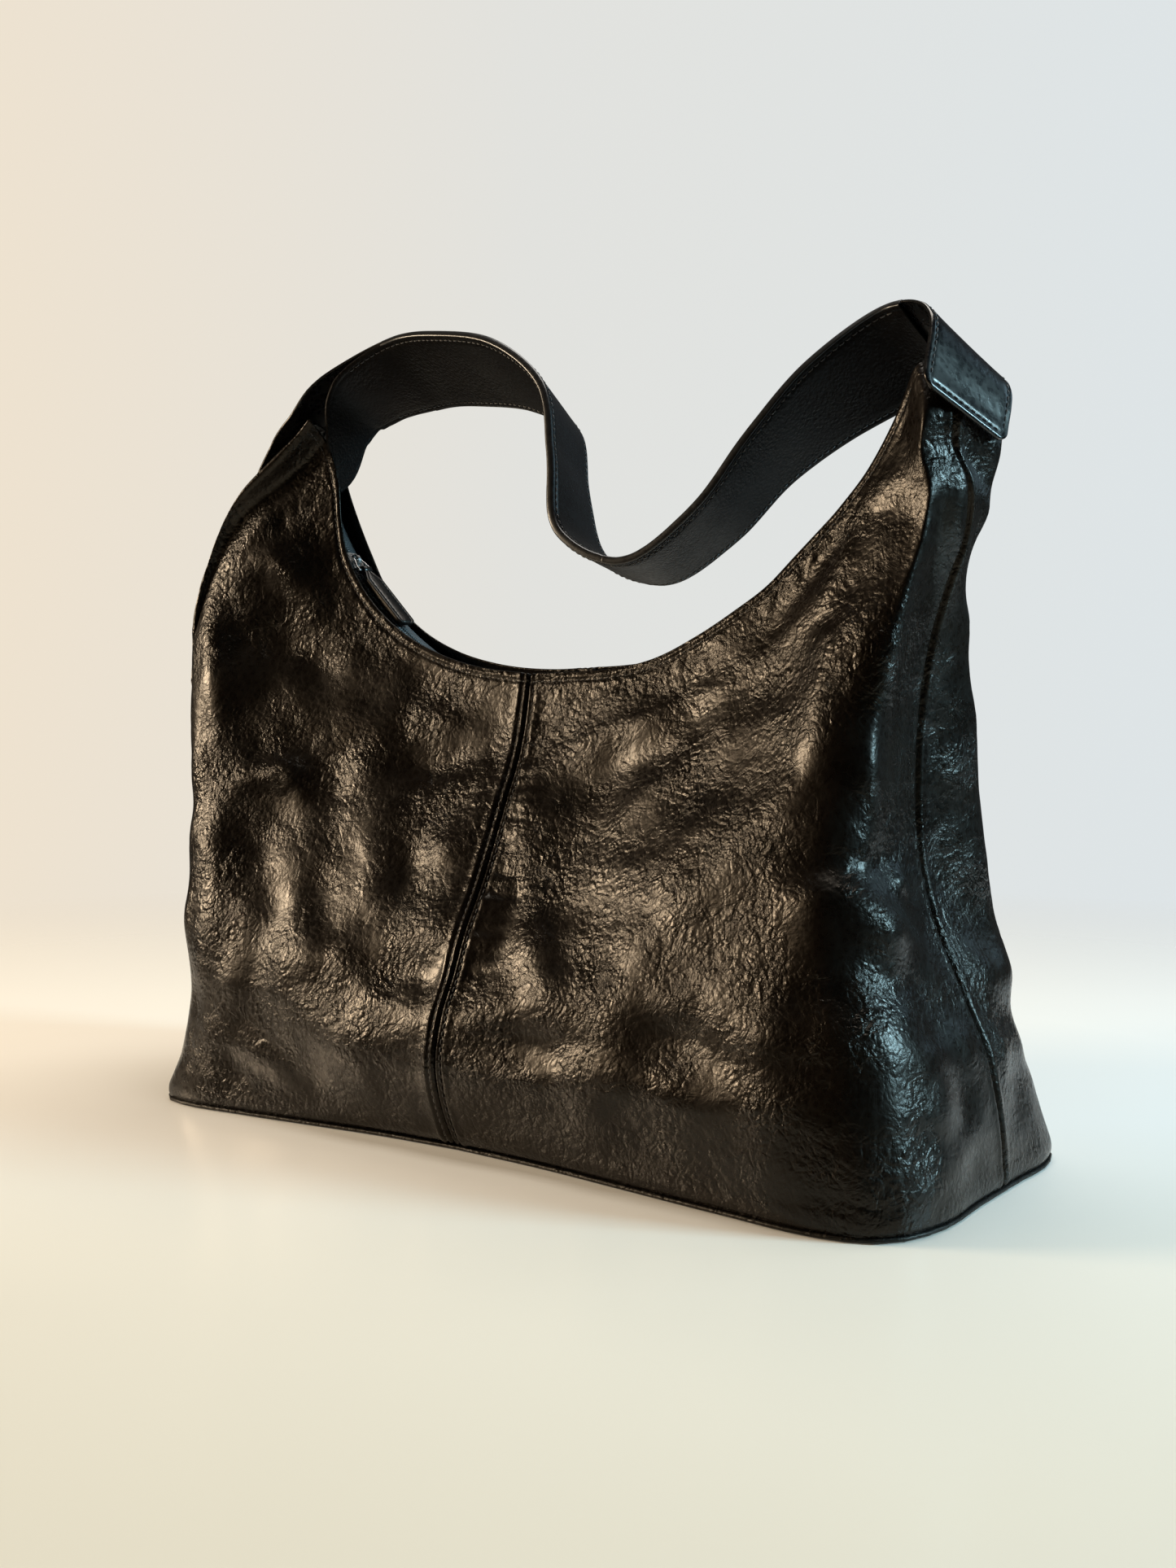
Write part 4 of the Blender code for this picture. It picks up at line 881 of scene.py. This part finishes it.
def dish(levels, rings=14, sag=0.0):
    """Closed plate from outline insets and heights, with the top and bottom faces gridded inwards."""
    m = len(outline(0.0))
    verts, faces, rows = [], [], []

    def add_ring(xy, z):
        rows.append(len(verts))
        verts.extend([(x, y, z + (sag * noise.noise((x / 22, y / 22, z)) if sag else 0.0)) for x, y in xy])

    c = outline(0.0).mean(axis=0)
    top_xy, bot_xy = outline(levels[-1][0]), outline(levels[0][0])
    for k in range(rings, 0, -1):
        add_ring(c + (bot_xy - c) * (1 - k / (rings + 0.5)), levels[0][1])
    for ins, z in levels:
        add_ring(outline(ins), z)
    for k in range(1, rings + 1):
        add_ring(c + (top_xy - c) * (1 - k / (rings + 0.5)), levels[-1][1])
    for a, b in zip(rows, rows[1:]):
        faces += [(a + i, a + (i + 1) % m, b + (i + 1) % m, b + i) for i in range(m)]
    faces.append(tuple(range(m - 1, -1, -1)))
    faces.append(tuple(rows[-1] + i for i in range(m)))
    return verts, faces


v, fc = dish([(0.9, 0.0), (0.25, 0.12), (-0.25, 0.55), (-0.45, 1.1), (-0.1, 1.75), (0.9, 1.9)])
piece("leather_base", v, fc, BASE, "bag", ("base_panel",))
v, fc = dish([(4.6, 3.95), (4.3, 4.1), (4.3, 4.4), (4.8, 4.6)], sag=0.25)
piece("cloth_base_lining", v, fc, LINING, "bag", ("base_lining",))
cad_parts["base_board"].data.materials.clear()
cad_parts["base_board"].data.materials.append(BOARD)

# the line 3.4 mm above the foot of each panel, with its normals; no stitches are made along it
rows = []
for (s, f), sk in SKINS.items():
    pts = np.array([[np.interp(3.4, sk.db[:, j], sk.Q[:, j, c]) for c in range(3)] for j in range(len(sk.us))])
    nrm = np.array([[np.interp(3.4, sk.db[:, j], sk.N[:, j, c]) for c in range(3)] for j in range(len(sk.us))])
    rows.append((pts, nrm))


# ------------------------------------------------------------------ zip
def arc_frame(deg):
    a = math.radians(deg)
    out = np.array((math.cos(a), 0.0, math.sin(a)))
    return np.array((ZIP_C[0], 0.0, ZIP_C[1])) + out * ZIP_R, np.array((-math.sin(a), 0.0, math.cos(a))), -out


def arc_sweep(a0, a1, n, section):
    rings = []
    for k in range(n + 1):
        p, t, up = arc_frame(a0 + (a1 - a0) * k / n)
        rings.append([p + np.array((0, y, 0)) + up * h for y, h in section])
    return tube(rings)


Y = np.array((0.0, 1.0, 0.0))
for fb, word in ((-1, "front"), (1, "back")):
    sec = [(2.6, -0.25), (3.0, -0.42), (3.5, -0.30), (7.2, -0.28), (7.2, 0.22), (3.5, 0.26), (3.0, 0.42), (2.6, 0.25)]
    v, fc = arc_sweep(ZIP_A0, ZIP_A1, 160, [(fb * y, h) for y, h in sec])
    piece("zip_tape_woven_" + word, v, fc, TAPE, "bag", ("zip_tape_" + word,), angle=50)
    parts = []
    arc_len = math.radians(CHAIN_A1 - CHAIN_A0) * ZIP_R
    count = int(arc_len / 1.5)
    for i in range(count):
        deg = CHAIN_A0 + (CHAIN_A1 - CHAIN_A0) * (i + (0.25 if fb < 0 else 0.75)) / count
        p, t, up = arc_frame(deg)
        rings = []
        for y, r in ((0.72, 0.34), (0.95, 0.50), (1.5, 0.44), (2.2, 0.46), (2.72, 0.30)):
            rings.append([p + Y * fb * y + t * math.cos(q) * r * 1.05 + up * math.sin(q) * r * 2.0
                          for q in [math.pi * k / 4 for k in range(8)]])
        parts.append(tube(rings))
    v, fc = merged(*parts)
    piece("zip_teeth_" + word, v, fc, COIL, "bag", ("zip_chain_" + word,))
for word, a0, a1 in (("left", ZIP_A0 + 0.1, CHAIN_A0 - 0.4), ("right", CHAIN_A1 + 0.4, ZIP_A1 - 0.1)):
    sec = [(-6.0, 0.75), (-5.7, 0.45), (5.7, 0.45), (6.0, 0.75), (6.0, 1.25), (5.7, 1.55), (-5.7, 1.55), (-6.0, 1.25)]
    v, fc = arc_sweep(a0, a1, 10, sec)
    piece("zip_end_leather_" + word, v, fc, PULL, "bag", ("zip_end_tab_" + word,), angle=50)
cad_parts["zip_slider"].data.materials.clear()
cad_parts["zip_slider"].data.materials.append(METAL)

sp, st, su = arc_frame(SLIDER_A)
rise = math.radians(PULL_RISE)
pull_t = st * math.cos(rise) + su * math.sin(rise)
pull_up = su * math.cos(rise) - st * math.sin(rise)
eye = sp + su * BAR_H
loop = [(0, -1.9), (0, 0), (0, 1.9), (0.7, 2.6), (2.2, 3.1), (4.6, 4.0), (7.6, 4.9), (8.7, 4.6), (RING_L, 3.9), (RING_L, 0),
        (RING_L, -3.9), (8.7, -4.6), (7.6, -4.9), (4.6, -4.0), (2.2, -3.1), (0.7, -2.6)]
fine = []
for i in range(len(loop)):
    p0, p1, p2, p3 = (np.array(loop[(i + k) % len(loop)], float) for k in (-1, 0, 1, 2))
    for k in range(5):
        s = k / 5
        fine.append(0.5 * ((2 * p1) + (p2 - p0) * s + (2 * p0 - 5 * p1 + 4 * p2 - p3) * s * s
                           + (3 * p1 - p0 - 3 * p2 + p3) * s ** 3))
pts = [eye + pull_t * a + Y * b for a, b in fine]
verts, faces = [], []
for i, p in enumerate(pts):
    t = unit(pts[(i + 1) % len(pts)] - pts[i - 1])
    sd = unit(np.cross(t, pull_up))
    verts += [p + (sd * math.cos(a) + pull_up * math.sin(a)) * 0.62 for a in [2 * math.pi * k / 12 for k in range(12)]]
for i in range(len(pts)):
    j = (i + 1) % len(pts)
    for k in range(12):
        l = (k + 1) % 12
        faces.append((i * 12 + k, i * 12 + l, j * 12 + l, j * 12 + k))
piece("pull_ring_wire", verts, faces, METAL, "pull_ring", ("zip_pull_ring",))


def tab_half_width(a):
    w = 3.1 + (TAB_W / 2 - 3.1) * smooth((a - 2.0) / 7.0)
    if a > TAB_L - 3.0:
        w -= 3.0 - math.sqrt(max(0.0, 9.0 - (a - (TAB_L - 3.0)) ** 2))
    return w


tab_eye = eye + pull_t * RING_L
rings = []
for a in [2.2, 3.0, 4.2, 5.5, 7, 9, 12, 16, 20, 24, 28, 32, 35, 37, 38.5, 39.6, 40.5, 41.2, 41.7, 41.95]:
    w = tab_half_width(a)
    th = TAB_T / 2 - 0.5 * smooth((a - 41.2) / 0.8)
    c = 0.45
    sec = [(-w, -th + c), (-w + c * 0.3, -th + c * 0.3), (-w + c, -th), (-w + 1.9, -th), (-w + 2.2, -th + 0.14), (-w + 2.5, -th),
           (w - 2.5, -th), (w - 2.2, -th + 0.14), (w - 1.9, -th), (w - c, -th), (w - c * 0.3, -th + c * 0.3), (w, -th + c),
           (w, th - c), (w - c * 0.3, th - c * 0.3), (w - c, th), (w - 1.9, th), (w - 2.2, th - 0.14), (w - 2.5, th),
           (-w + 2.5, th), (-w + 2.2, th - 0.14), (-w + 1.9, th), (-w + c, th), (-w + c * 0.3, th - c * 0.3), (-w, th - c)]
    rings.append([tab_eye + pull_t * a + Y * y + pull_up * h for y, h in sec])
body_part = tube(rings)
rings = []
for a in range(30, 331, 15):
    q = math.radians(a)
    w = tab_half_width(0)
    ri, ro = 1.05, 2.30
    d = pull_t * math.cos(q) + pull_up * math.sin(q)
    rings.append([tab_eye + d * r + Y * y for y, r in ((-w, ri + .2), (-w, ro - .3), (-w + .3, ro), (w - .3, ro), (w, ro - .3),
                                                      (w, ri + .2), (w - .2, ri), (-w + .2, ri))])
v, fc = merged(body_part, tube(rings))
piece("pull_leather_tab", v, fc, PULL, "pull_tab", ("zip_pull_tab",), angle=60)
rows = []
for up in (1, -1):
    for sd in (-1, 1):
        aa = np.linspace(7, TAB_L - 2.2, 30)
        pts = np.array([tab_eye + pull_t * a + Y * sd * (tab_half_width(min(a, TAB_L - 3)) - 2.2) + pull_up * up * (TAB_T / 2)
                        for a in aa])
        rows.append((pts, np.repeat((pull_up * up)[None], 30, axis=0)))
v, fc = stitches(rows, pitch=2.6, length=1.9, r=0.22, lift=0.0)
piece("stitches_pull", v, fc, THREAD, "pull_tab")

# ------------------------------------------------------------------ shoulder strap
W2 = 25.0
strap_c = route([c for c, g in STRAP])
_kn = [0.0]
for (a, _), (b, _g) in zip(STRAP, STRAP[1:]):
    _kn.append(_kn[-1] + (Vector(b) - Vector(a)).length)
strap_g = route([g for c, g in STRAP], _kn)


def strap_frame(s):
    p = strap_c(s)
    t = (strap_c(min(1, s + 0.01)) - strap_c(max(0, s - 0.01))).normalized()
    g = strap_g(s)
    g = (g - t * g.dot(t)).normalized()
    return p, g, t.cross(g).normalized()


def frames_from(knots):
    """Dense frames (centre, across, outward) along a smooth route through frames, every 2 mm or so."""
    c = route([p for p, g, n in knots])
    kn = [0.0]
    for (a, _, _), (b, _, _) in zip(knots, knots[1:]):
        kn.append(kn[-1] + (b - a).length)
    total = kn[-1]
    gf, nf = route([g for p, g, n in knots], list(kn)), route([n for p, g, n in knots], list(kn))
    ends = [0, 0.25, 0.6, 1.1, 1.7, 2.4, 3.2, 4.1, 5.1]
    s = ends + list(np.linspace(5.1, total - 5.1, int((total - 10) / 2.0)))[1:-1] + [total - e for e in ends[::-1]]
    P = np.array([tuple(c(k / total)) for k in s])
    G = unit(np.array([tuple(gf(k / total)) for k in s]))
    Nn = np.array([tuple(nf(k / total)) for k in s])
    T = unit(np.gradient(P, axis=0))
    G = unit(G - T * np.sum(G * T, axis=1, keepdims=True))
    N2 = unit(np.cross(T, G))
    sign = np.sign(np.sum(N2 * Nn, axis=1, keepdims=True))
    return P, G, N2 * sign, np.array(s), total


def knots_between(s0, s1, n):
    return [strap_frame(s0 + (s1 - s0) * k / n) for k in range(n + 1)]


def half_width(s, total, round_start, round_end, r=6.0, tail=0.0):
    w = np.full(len(s), W2)
    if tail:
        w = 9.0 + (W2 - 9.0) * ss(s / tail)
    for on, d in ((round_start, s), (round_end, total - s)):
        if on:
            w = np.where(d < r, w - (r - np.sqrt(np.maximum(0.0, r * r - (r - d) ** 2))), w)
    return w


def strap_layer(name, fr, h0, h1, face_up, mat, nodes, blend, ends=(False, False), grain=0.04, seed=0.0, tail=0.0):
    """One leather layer; its outer face carries a shallow channel for the stitching 3 mm in from each edge."""
    P, G, N, s, total = fr
    w = half_width(s, total, *ends, tail=tail)
    xs = np.array([-1.0, -.985, -.96, -.93, -.905, -.88, -.855, -.82, -.74, -.62, -.48, -.32, -.16, 0.0])
    xs = np.concatenate([xs, -xs[:-1][::-1]])
    verts_o, verts_i = [], []
    top, bot = (h1, h0) if face_up else (h0, h1)
    sign = 1.0 if face_up else -1.0
    for i in range(len(s)):
        y = xs * w[i]
        d = w[i] - np.abs(y)
        if (ends[0] and s[i] < 8) or (ends[1] and total - s[i] < 8):
            e = min(s[i] if ends[0] else 99, total - s[i] if ends[1] else 99)
            d = np.minimum(d, e)
        prof = (-0.55 * np.exp(-(d / 0.5) ** 2) - 0.30 * np.exp(-((d - 3.0) / 0.8) ** 2) + 0.12 * np.exp(-((d - 5.0) / 1.6) ** 2))
        c = P[i][None] + G[i][None] * y[:, None]
        wob = grain * nz(c, 9.0, seed) + 0.10 * nz(c, 30.0, seed + 4)
        verts_o.append(c + N[i][None] * (top + sign * (prof + wob * np.clip(d / 6, 0, 1)))[:, None])
        verts_i.append(c + N[i][None] * np.full(len(y), bot)[:, None])
    v, fc = wrapped(np.array(verts_o), np.array(verts_i), 0.05)
    return piece(name, v, fc, mat, None, nodes, blend=blend)


def strap_edge(name, fr, h0, h1, blend, sides=(-1, 1), ends=(False, False)):
    """Painted bead over both layers' cut edges."""
    P, G, N, s, total = fr
    w = half_width(s, total, *ends)
    parts = []
    hm, hh = (h0 + h1) / 2, (h1 - h0) / 2
    for sd in sides:
        rings = []
        for i in range(len(s)):
            ring = []
            for k in range(10):
                a = 2 * math.pi * k / 10
                ring.append(P[i] + G[i] * sd * (w[i] - 0.25 + 0.55 * math.cos(a)) + N[i] * (hm + math.sin(a) * (hh + 0.05)))
            rings.append(ring)
        parts.append(tube(rings))
    v, fc = merged(*parts)
    return piece(name, v, fc, PAINT, None, (), blend=blend)


def strap_stitches(name, fr, h, up, blend, ends=(False, False), skip=(0.0, 0.0)):
    P, G, N, s, total = fr
    rows = []
    k = (s > (4.0 if ends[0] else skip[0])) & (s < total - (4.0 if ends[1] else skip[1]))
    for sd in (-1, 1):
        rows.append(((P + G * sd * (W2 - 3.0) + N * h)[k], N[k] * up))
    for on, at in ((ends[0], 3.0), (ends[1], total - 3.0)):
        if on:
            i = int(np.argmin(np.abs(s - at)))
            ys = np.linspace(-(W2 - 4), W2 - 4, 30)
            rows.append((P[i][None] + G[i][None] * ys[:, None] + N[i][None] * h, np.repeat(N[i][None] * up, 30, axis=0)))
    v, fc = stitches(rows, lift=0.02)
    return piece(name, v, fc, THREAD, None, (), blend=blend)


S_MID = 0.5465
tab_l = [(Vector(p), Vector(g).normalized(), Vector(n).normalized()) for p, g, n in (
    ((-206, 7, 317.5), (-.22, .86, -.45), (-.64, .12, .76)), ((-197, 5.5, 327), (-.22, .86, -.45), (-.62, .12, .77)),
    ((-186, 3.5, 337.5), (-.22, .87, -.44), (-.62, .11, .78)), ((-174, 1.5, 348), (-.20, .88, -.43), (-.66, .09, .74)))]
for share, off in ((0.046, 9.5), (0.062, 6.0), (0.080, 3.2), (0.098, 1.4), (0.118, 0.3)):
    p, g, n = strap_frame(share)
    tab_l.append((p + n * off, g, n))
L_OUT = frames_from(tab_l + knots_between(0.130, S_MID, 24))
_p, _g, _n = strap_frame(0.0)
tail = [(Vector((-164.7, -1.4, 320.8)), _g, _n), (Vector((-162.8, 3.6, 327.7)), _g, _n)]
for share, off in ((0.024, 5.7), (0.036, 2.9), (0.048, 0.8)):   # narrows on the near side, to pass inside the peak
    p, g, n = strap_frame(share)
    tail.append((p + g * off, g, n))
L_IN = frames_from(tail + knots_between(0.062, S_MID, 26))
L_RUN = frames_from(knots_between(0.125, S_MID, 24))
R_OUT = frames_from(knots_between(S_MID, 1.0, 28))
R_IN = frames_from(knots_between(S_MID, 0.885, 22))
R_RUN = frames_from(knots_between(S_MID, 0.885, 22))
BL = ("bag", "strap", (-0.136, 0, 0), (-0.088, 0, 0))
BR = ("bag", "strap", (0.182, 0, 0), (0.142, 0, 0))
strap_layer("strap_leather_left", L_OUT, 0.15, 1.9, True, STRAP_OUT,
            ("strap_outer_leather", "strap_end_outer_left"), BL, (True, False), seed=1.0)
strap_layer("strap_leather_right", R_OUT, 0.15, 1.9, True, STRAP_OUT,
            ("strap_outer_leather", "strap_end_outer_right"), BR, (False, True), seed=1.0)
strap_layer("strap_backing_left", L_IN, -1.9, -0.1, False, STRAP_IN,
            ("strap_backing", "strap_end_inner_left"), BL, seed=2.0, grain=0.08, tail=52.0)
strap_layer("strap_backing_right", R_IN, -1.9, -0.1, False, STRAP_IN,
            ("strap_backing", "strap_end_inner_right"), BR, seed=2.0, grain=0.08)
strap_edge("strap_edge_left", L_RUN, -1.85, 1.85, BL)
strap_edge("strap_edge_right", R_RUN, -1.85, 1.85, BR)
strap_stitches("stitches_strap_left_under", L_IN, -1.9, -1, BL, skip=(52, 0.6))
strap_stitches("stitches_strap_right_under", R_IN, -1.9, -1, BR, skip=(0.6, 4))
strap_stitches("stitches_strap_left_over", L_OUT, 1.9, 1, BL, (True, False), skip=(0, 0.6))
strap_stitches("stitches_strap_right_over", R_OUT, 1.9, 1, BR, (False, True), skip=(0.6, 0))

# ------------------------------------------------------------------ floor, light
fl = Nodes("floor")
sepf = fl.add("ShaderNodeSeparateXYZ")
fl.link(fl.co, sepf.inputs[0])
across = fl.math("ADD", fl.math("MULTIPLY", sepf.outputs[0], 0.808), fl.math("MULTIPLY", sepf.outputs[1], 0.589))
near = fl.math("SUBTRACT", fl.math("MULTIPLY", sepf.outputs[0], 0.589), fl.math("MULTIPLY", sepf.outputs[1], 0.808))
shade = fl.add("ShaderNodeMix", data_type="RGBA", blend_type="MULTIPLY")
shade.inputs[0].default_value = 1.0
# painted light: the floor's colour is warm cream on the left and cool grey on the right, copying the warm key and the
# cool lamps
fl.link(fl.ramp(fl.spread(across, 0.0, 1.0, -0.5, 0.6), (0.0, (0.88, 0.81, 0.70)), (0.55, (0.82, 0.79, 0.74)),
                (1.0, (0.80, 0.81, 0.81))), shade.inputs[6])
# painted shade: the floor's colour darkens and browns towards the camera, in front of the bag
fl.link(fl.ramp(fl.spread(near, 0.0, 1.0, 0.0, 0.42), (0.0, (1.0, 1.0, 1.0)), (0.45, (0.92, 0.89, 0.83)),
                (1.0, (0.80, 0.75, 0.66))), shade.inputs[7])
# painted light: the floor glows with a warm emission, strongest behind the bag and fading towards the camera
fl.out(Base_Color=shade.outputs[2], Roughness=0.22, Specular_IOR_Level=0.45, Emission_Color=(1.0, 0.90, 0.72, 1.0),
       Emission_Strength=fl.spread(near, 0.22, 0.04, -0.35, 0.25))
radius = fl.math("SQRT", fl.math("ADD", fl.math("MULTIPLY", sepf.outputs[0], sepf.outputs[0]),
                                 fl.math("MULTIPLY", sepf.outputs[1], sepf.outputs[1])))
fl.link(fl.spread(radius, 1.0, 0.0, 0.40, 1.15), fl.b.inputs["Alpha"])
bpy.ops.mesh.primitive_circle_add(vertices=96, radius=3.0, fill_type='NGON', location=(0, 0, -0.0002))
floor = bpy.context.active_object
floor.name = "floor"
floor.data.materials.append(fl.mat)

world = bpy.data.worlds.new("studio")
bpy.context.scene.world = world
world.use_nodes = True
wt = world.node_tree
wt.nodes.clear()


def wn(kind, **kw):
    n = wt.nodes.new(kind)
    for k, v in kw.items():
        setattr(n, k, v)
    return n


co = wn("ShaderNodeTexCoord")
dot = wn("ShaderNodeVectorMath", operation="DOT_PRODUCT")
wt.links.new(co.outputs["Generated"], dot.inputs[0])
dot.inputs[1].default_value = (0.808, 0.589, 0.0)
rng = wn("ShaderNodeMapRange")
wt.links.new(dot.outputs["Value"], rng.inputs["Value"])
rng.inputs["From Min"].default_value, rng.inputs["From Max"].default_value = -0.36, 0.36
ramp = wn("ShaderNodeValToRGB")
wt.links.new(rng.outputs["Result"], ramp.inputs["Fac"])
stops = [(0.0, (0.86, 0.76, 0.62)), (0.45, (0.76, 0.76, 0.73)), (1.0, (0.73, 0.78, 0.80))]
while len(ramp.color_ramp.elements) < len(stops):
    ramp.color_ramp.elements.new(0.5)
for e, (p, c) in zip(ramp.color_ramp.elements, stops):
    e.position, e.color = p, (*c, 1)
dot2 = wn("ShaderNodeVectorMath", operation="DOT_PRODUCT")
wt.links.new(co.outputs["Generated"], dot2.inputs[0])
dot2.inputs[1].default_value = (0.85, -0.52, 0.0)         # the dark side of the room: front right
dim = wn("ShaderNodeMapRange", interpolation_type="SMOOTHSTEP")
wt.links.new(dot2.outputs["Value"], dim.inputs["Value"])
for k, v in (("From Min", -0.35), ("From Max", 0.55), ("To Min", 0.07), ("To Max", 0.003)):
    dim.inputs[k].default_value = v
lp = wn("ShaderNodeLightPath")
mixs = wn("ShaderNodeMix", data_type="FLOAT")
wt.links.new(lp.outputs["Is Camera Ray"], mixs.inputs[0])
wt.links.new(dim.outputs["Result"], mixs.inputs[2])
mixs.inputs[3].default_value = 1.0
bg = wn("ShaderNodeBackground")
wt.links.new(ramp.outputs["Color"], bg.inputs["Color"])
wt.links.new(mixs.outputs[0], bg.inputs["Strength"])
wo = wn("ShaderNodeOutputWorld")
wt.links.new(bg.outputs[0], wo.inputs["Surface"])


def area(name, at, to, size, power, colour, size_y=None):
    d = bpy.data.lights.new(name, "AREA")
    d.shape = "RECTANGLE"
    d.size, d.size_y = size, size_y or size
    d.energy, d.color = power, colour
    o = bpy.data.objects.new(name, d)
    o.location = at
    o.rotation_euler = (Vector(to) - Vector(at)).to_track_quat('-Z', 'Y').to_euler()
    bpy.context.collection.objects.link(o)
    return o


area("key_warm", (-1.54, -0.96, 0.69), (-0.08, 0, 0.15), 0.52, 36.0, (1.0, 0.80, 0.57), 0.46)
area("key_centre", (-0.95, -1.35, 0.70), (0.0, 0, 0.14), 0.4, 1.4, (1.0, 0.76, 0.50), 0.4)
area("cool_right", (1.42, 0.44, 0.66), (0.17, 0, 0.13), 0.34, 30.0, (0.46, 0.80, 1.0), 0.46)
area("cool_behind", (0.9, 1.5, 0.9), (0.2, 0.1, 0.1), 0.5, 1.5, (0.50, 0.80, 1.0), 0.7)
area("top_soft", (0.0, 0.5, 2.3), (0, 0.1, 0.0), 1.5, 45.0, (1.0, 0.96, 0.90))

bpy.context.scene.view_settings.view_transform = 'Standard'
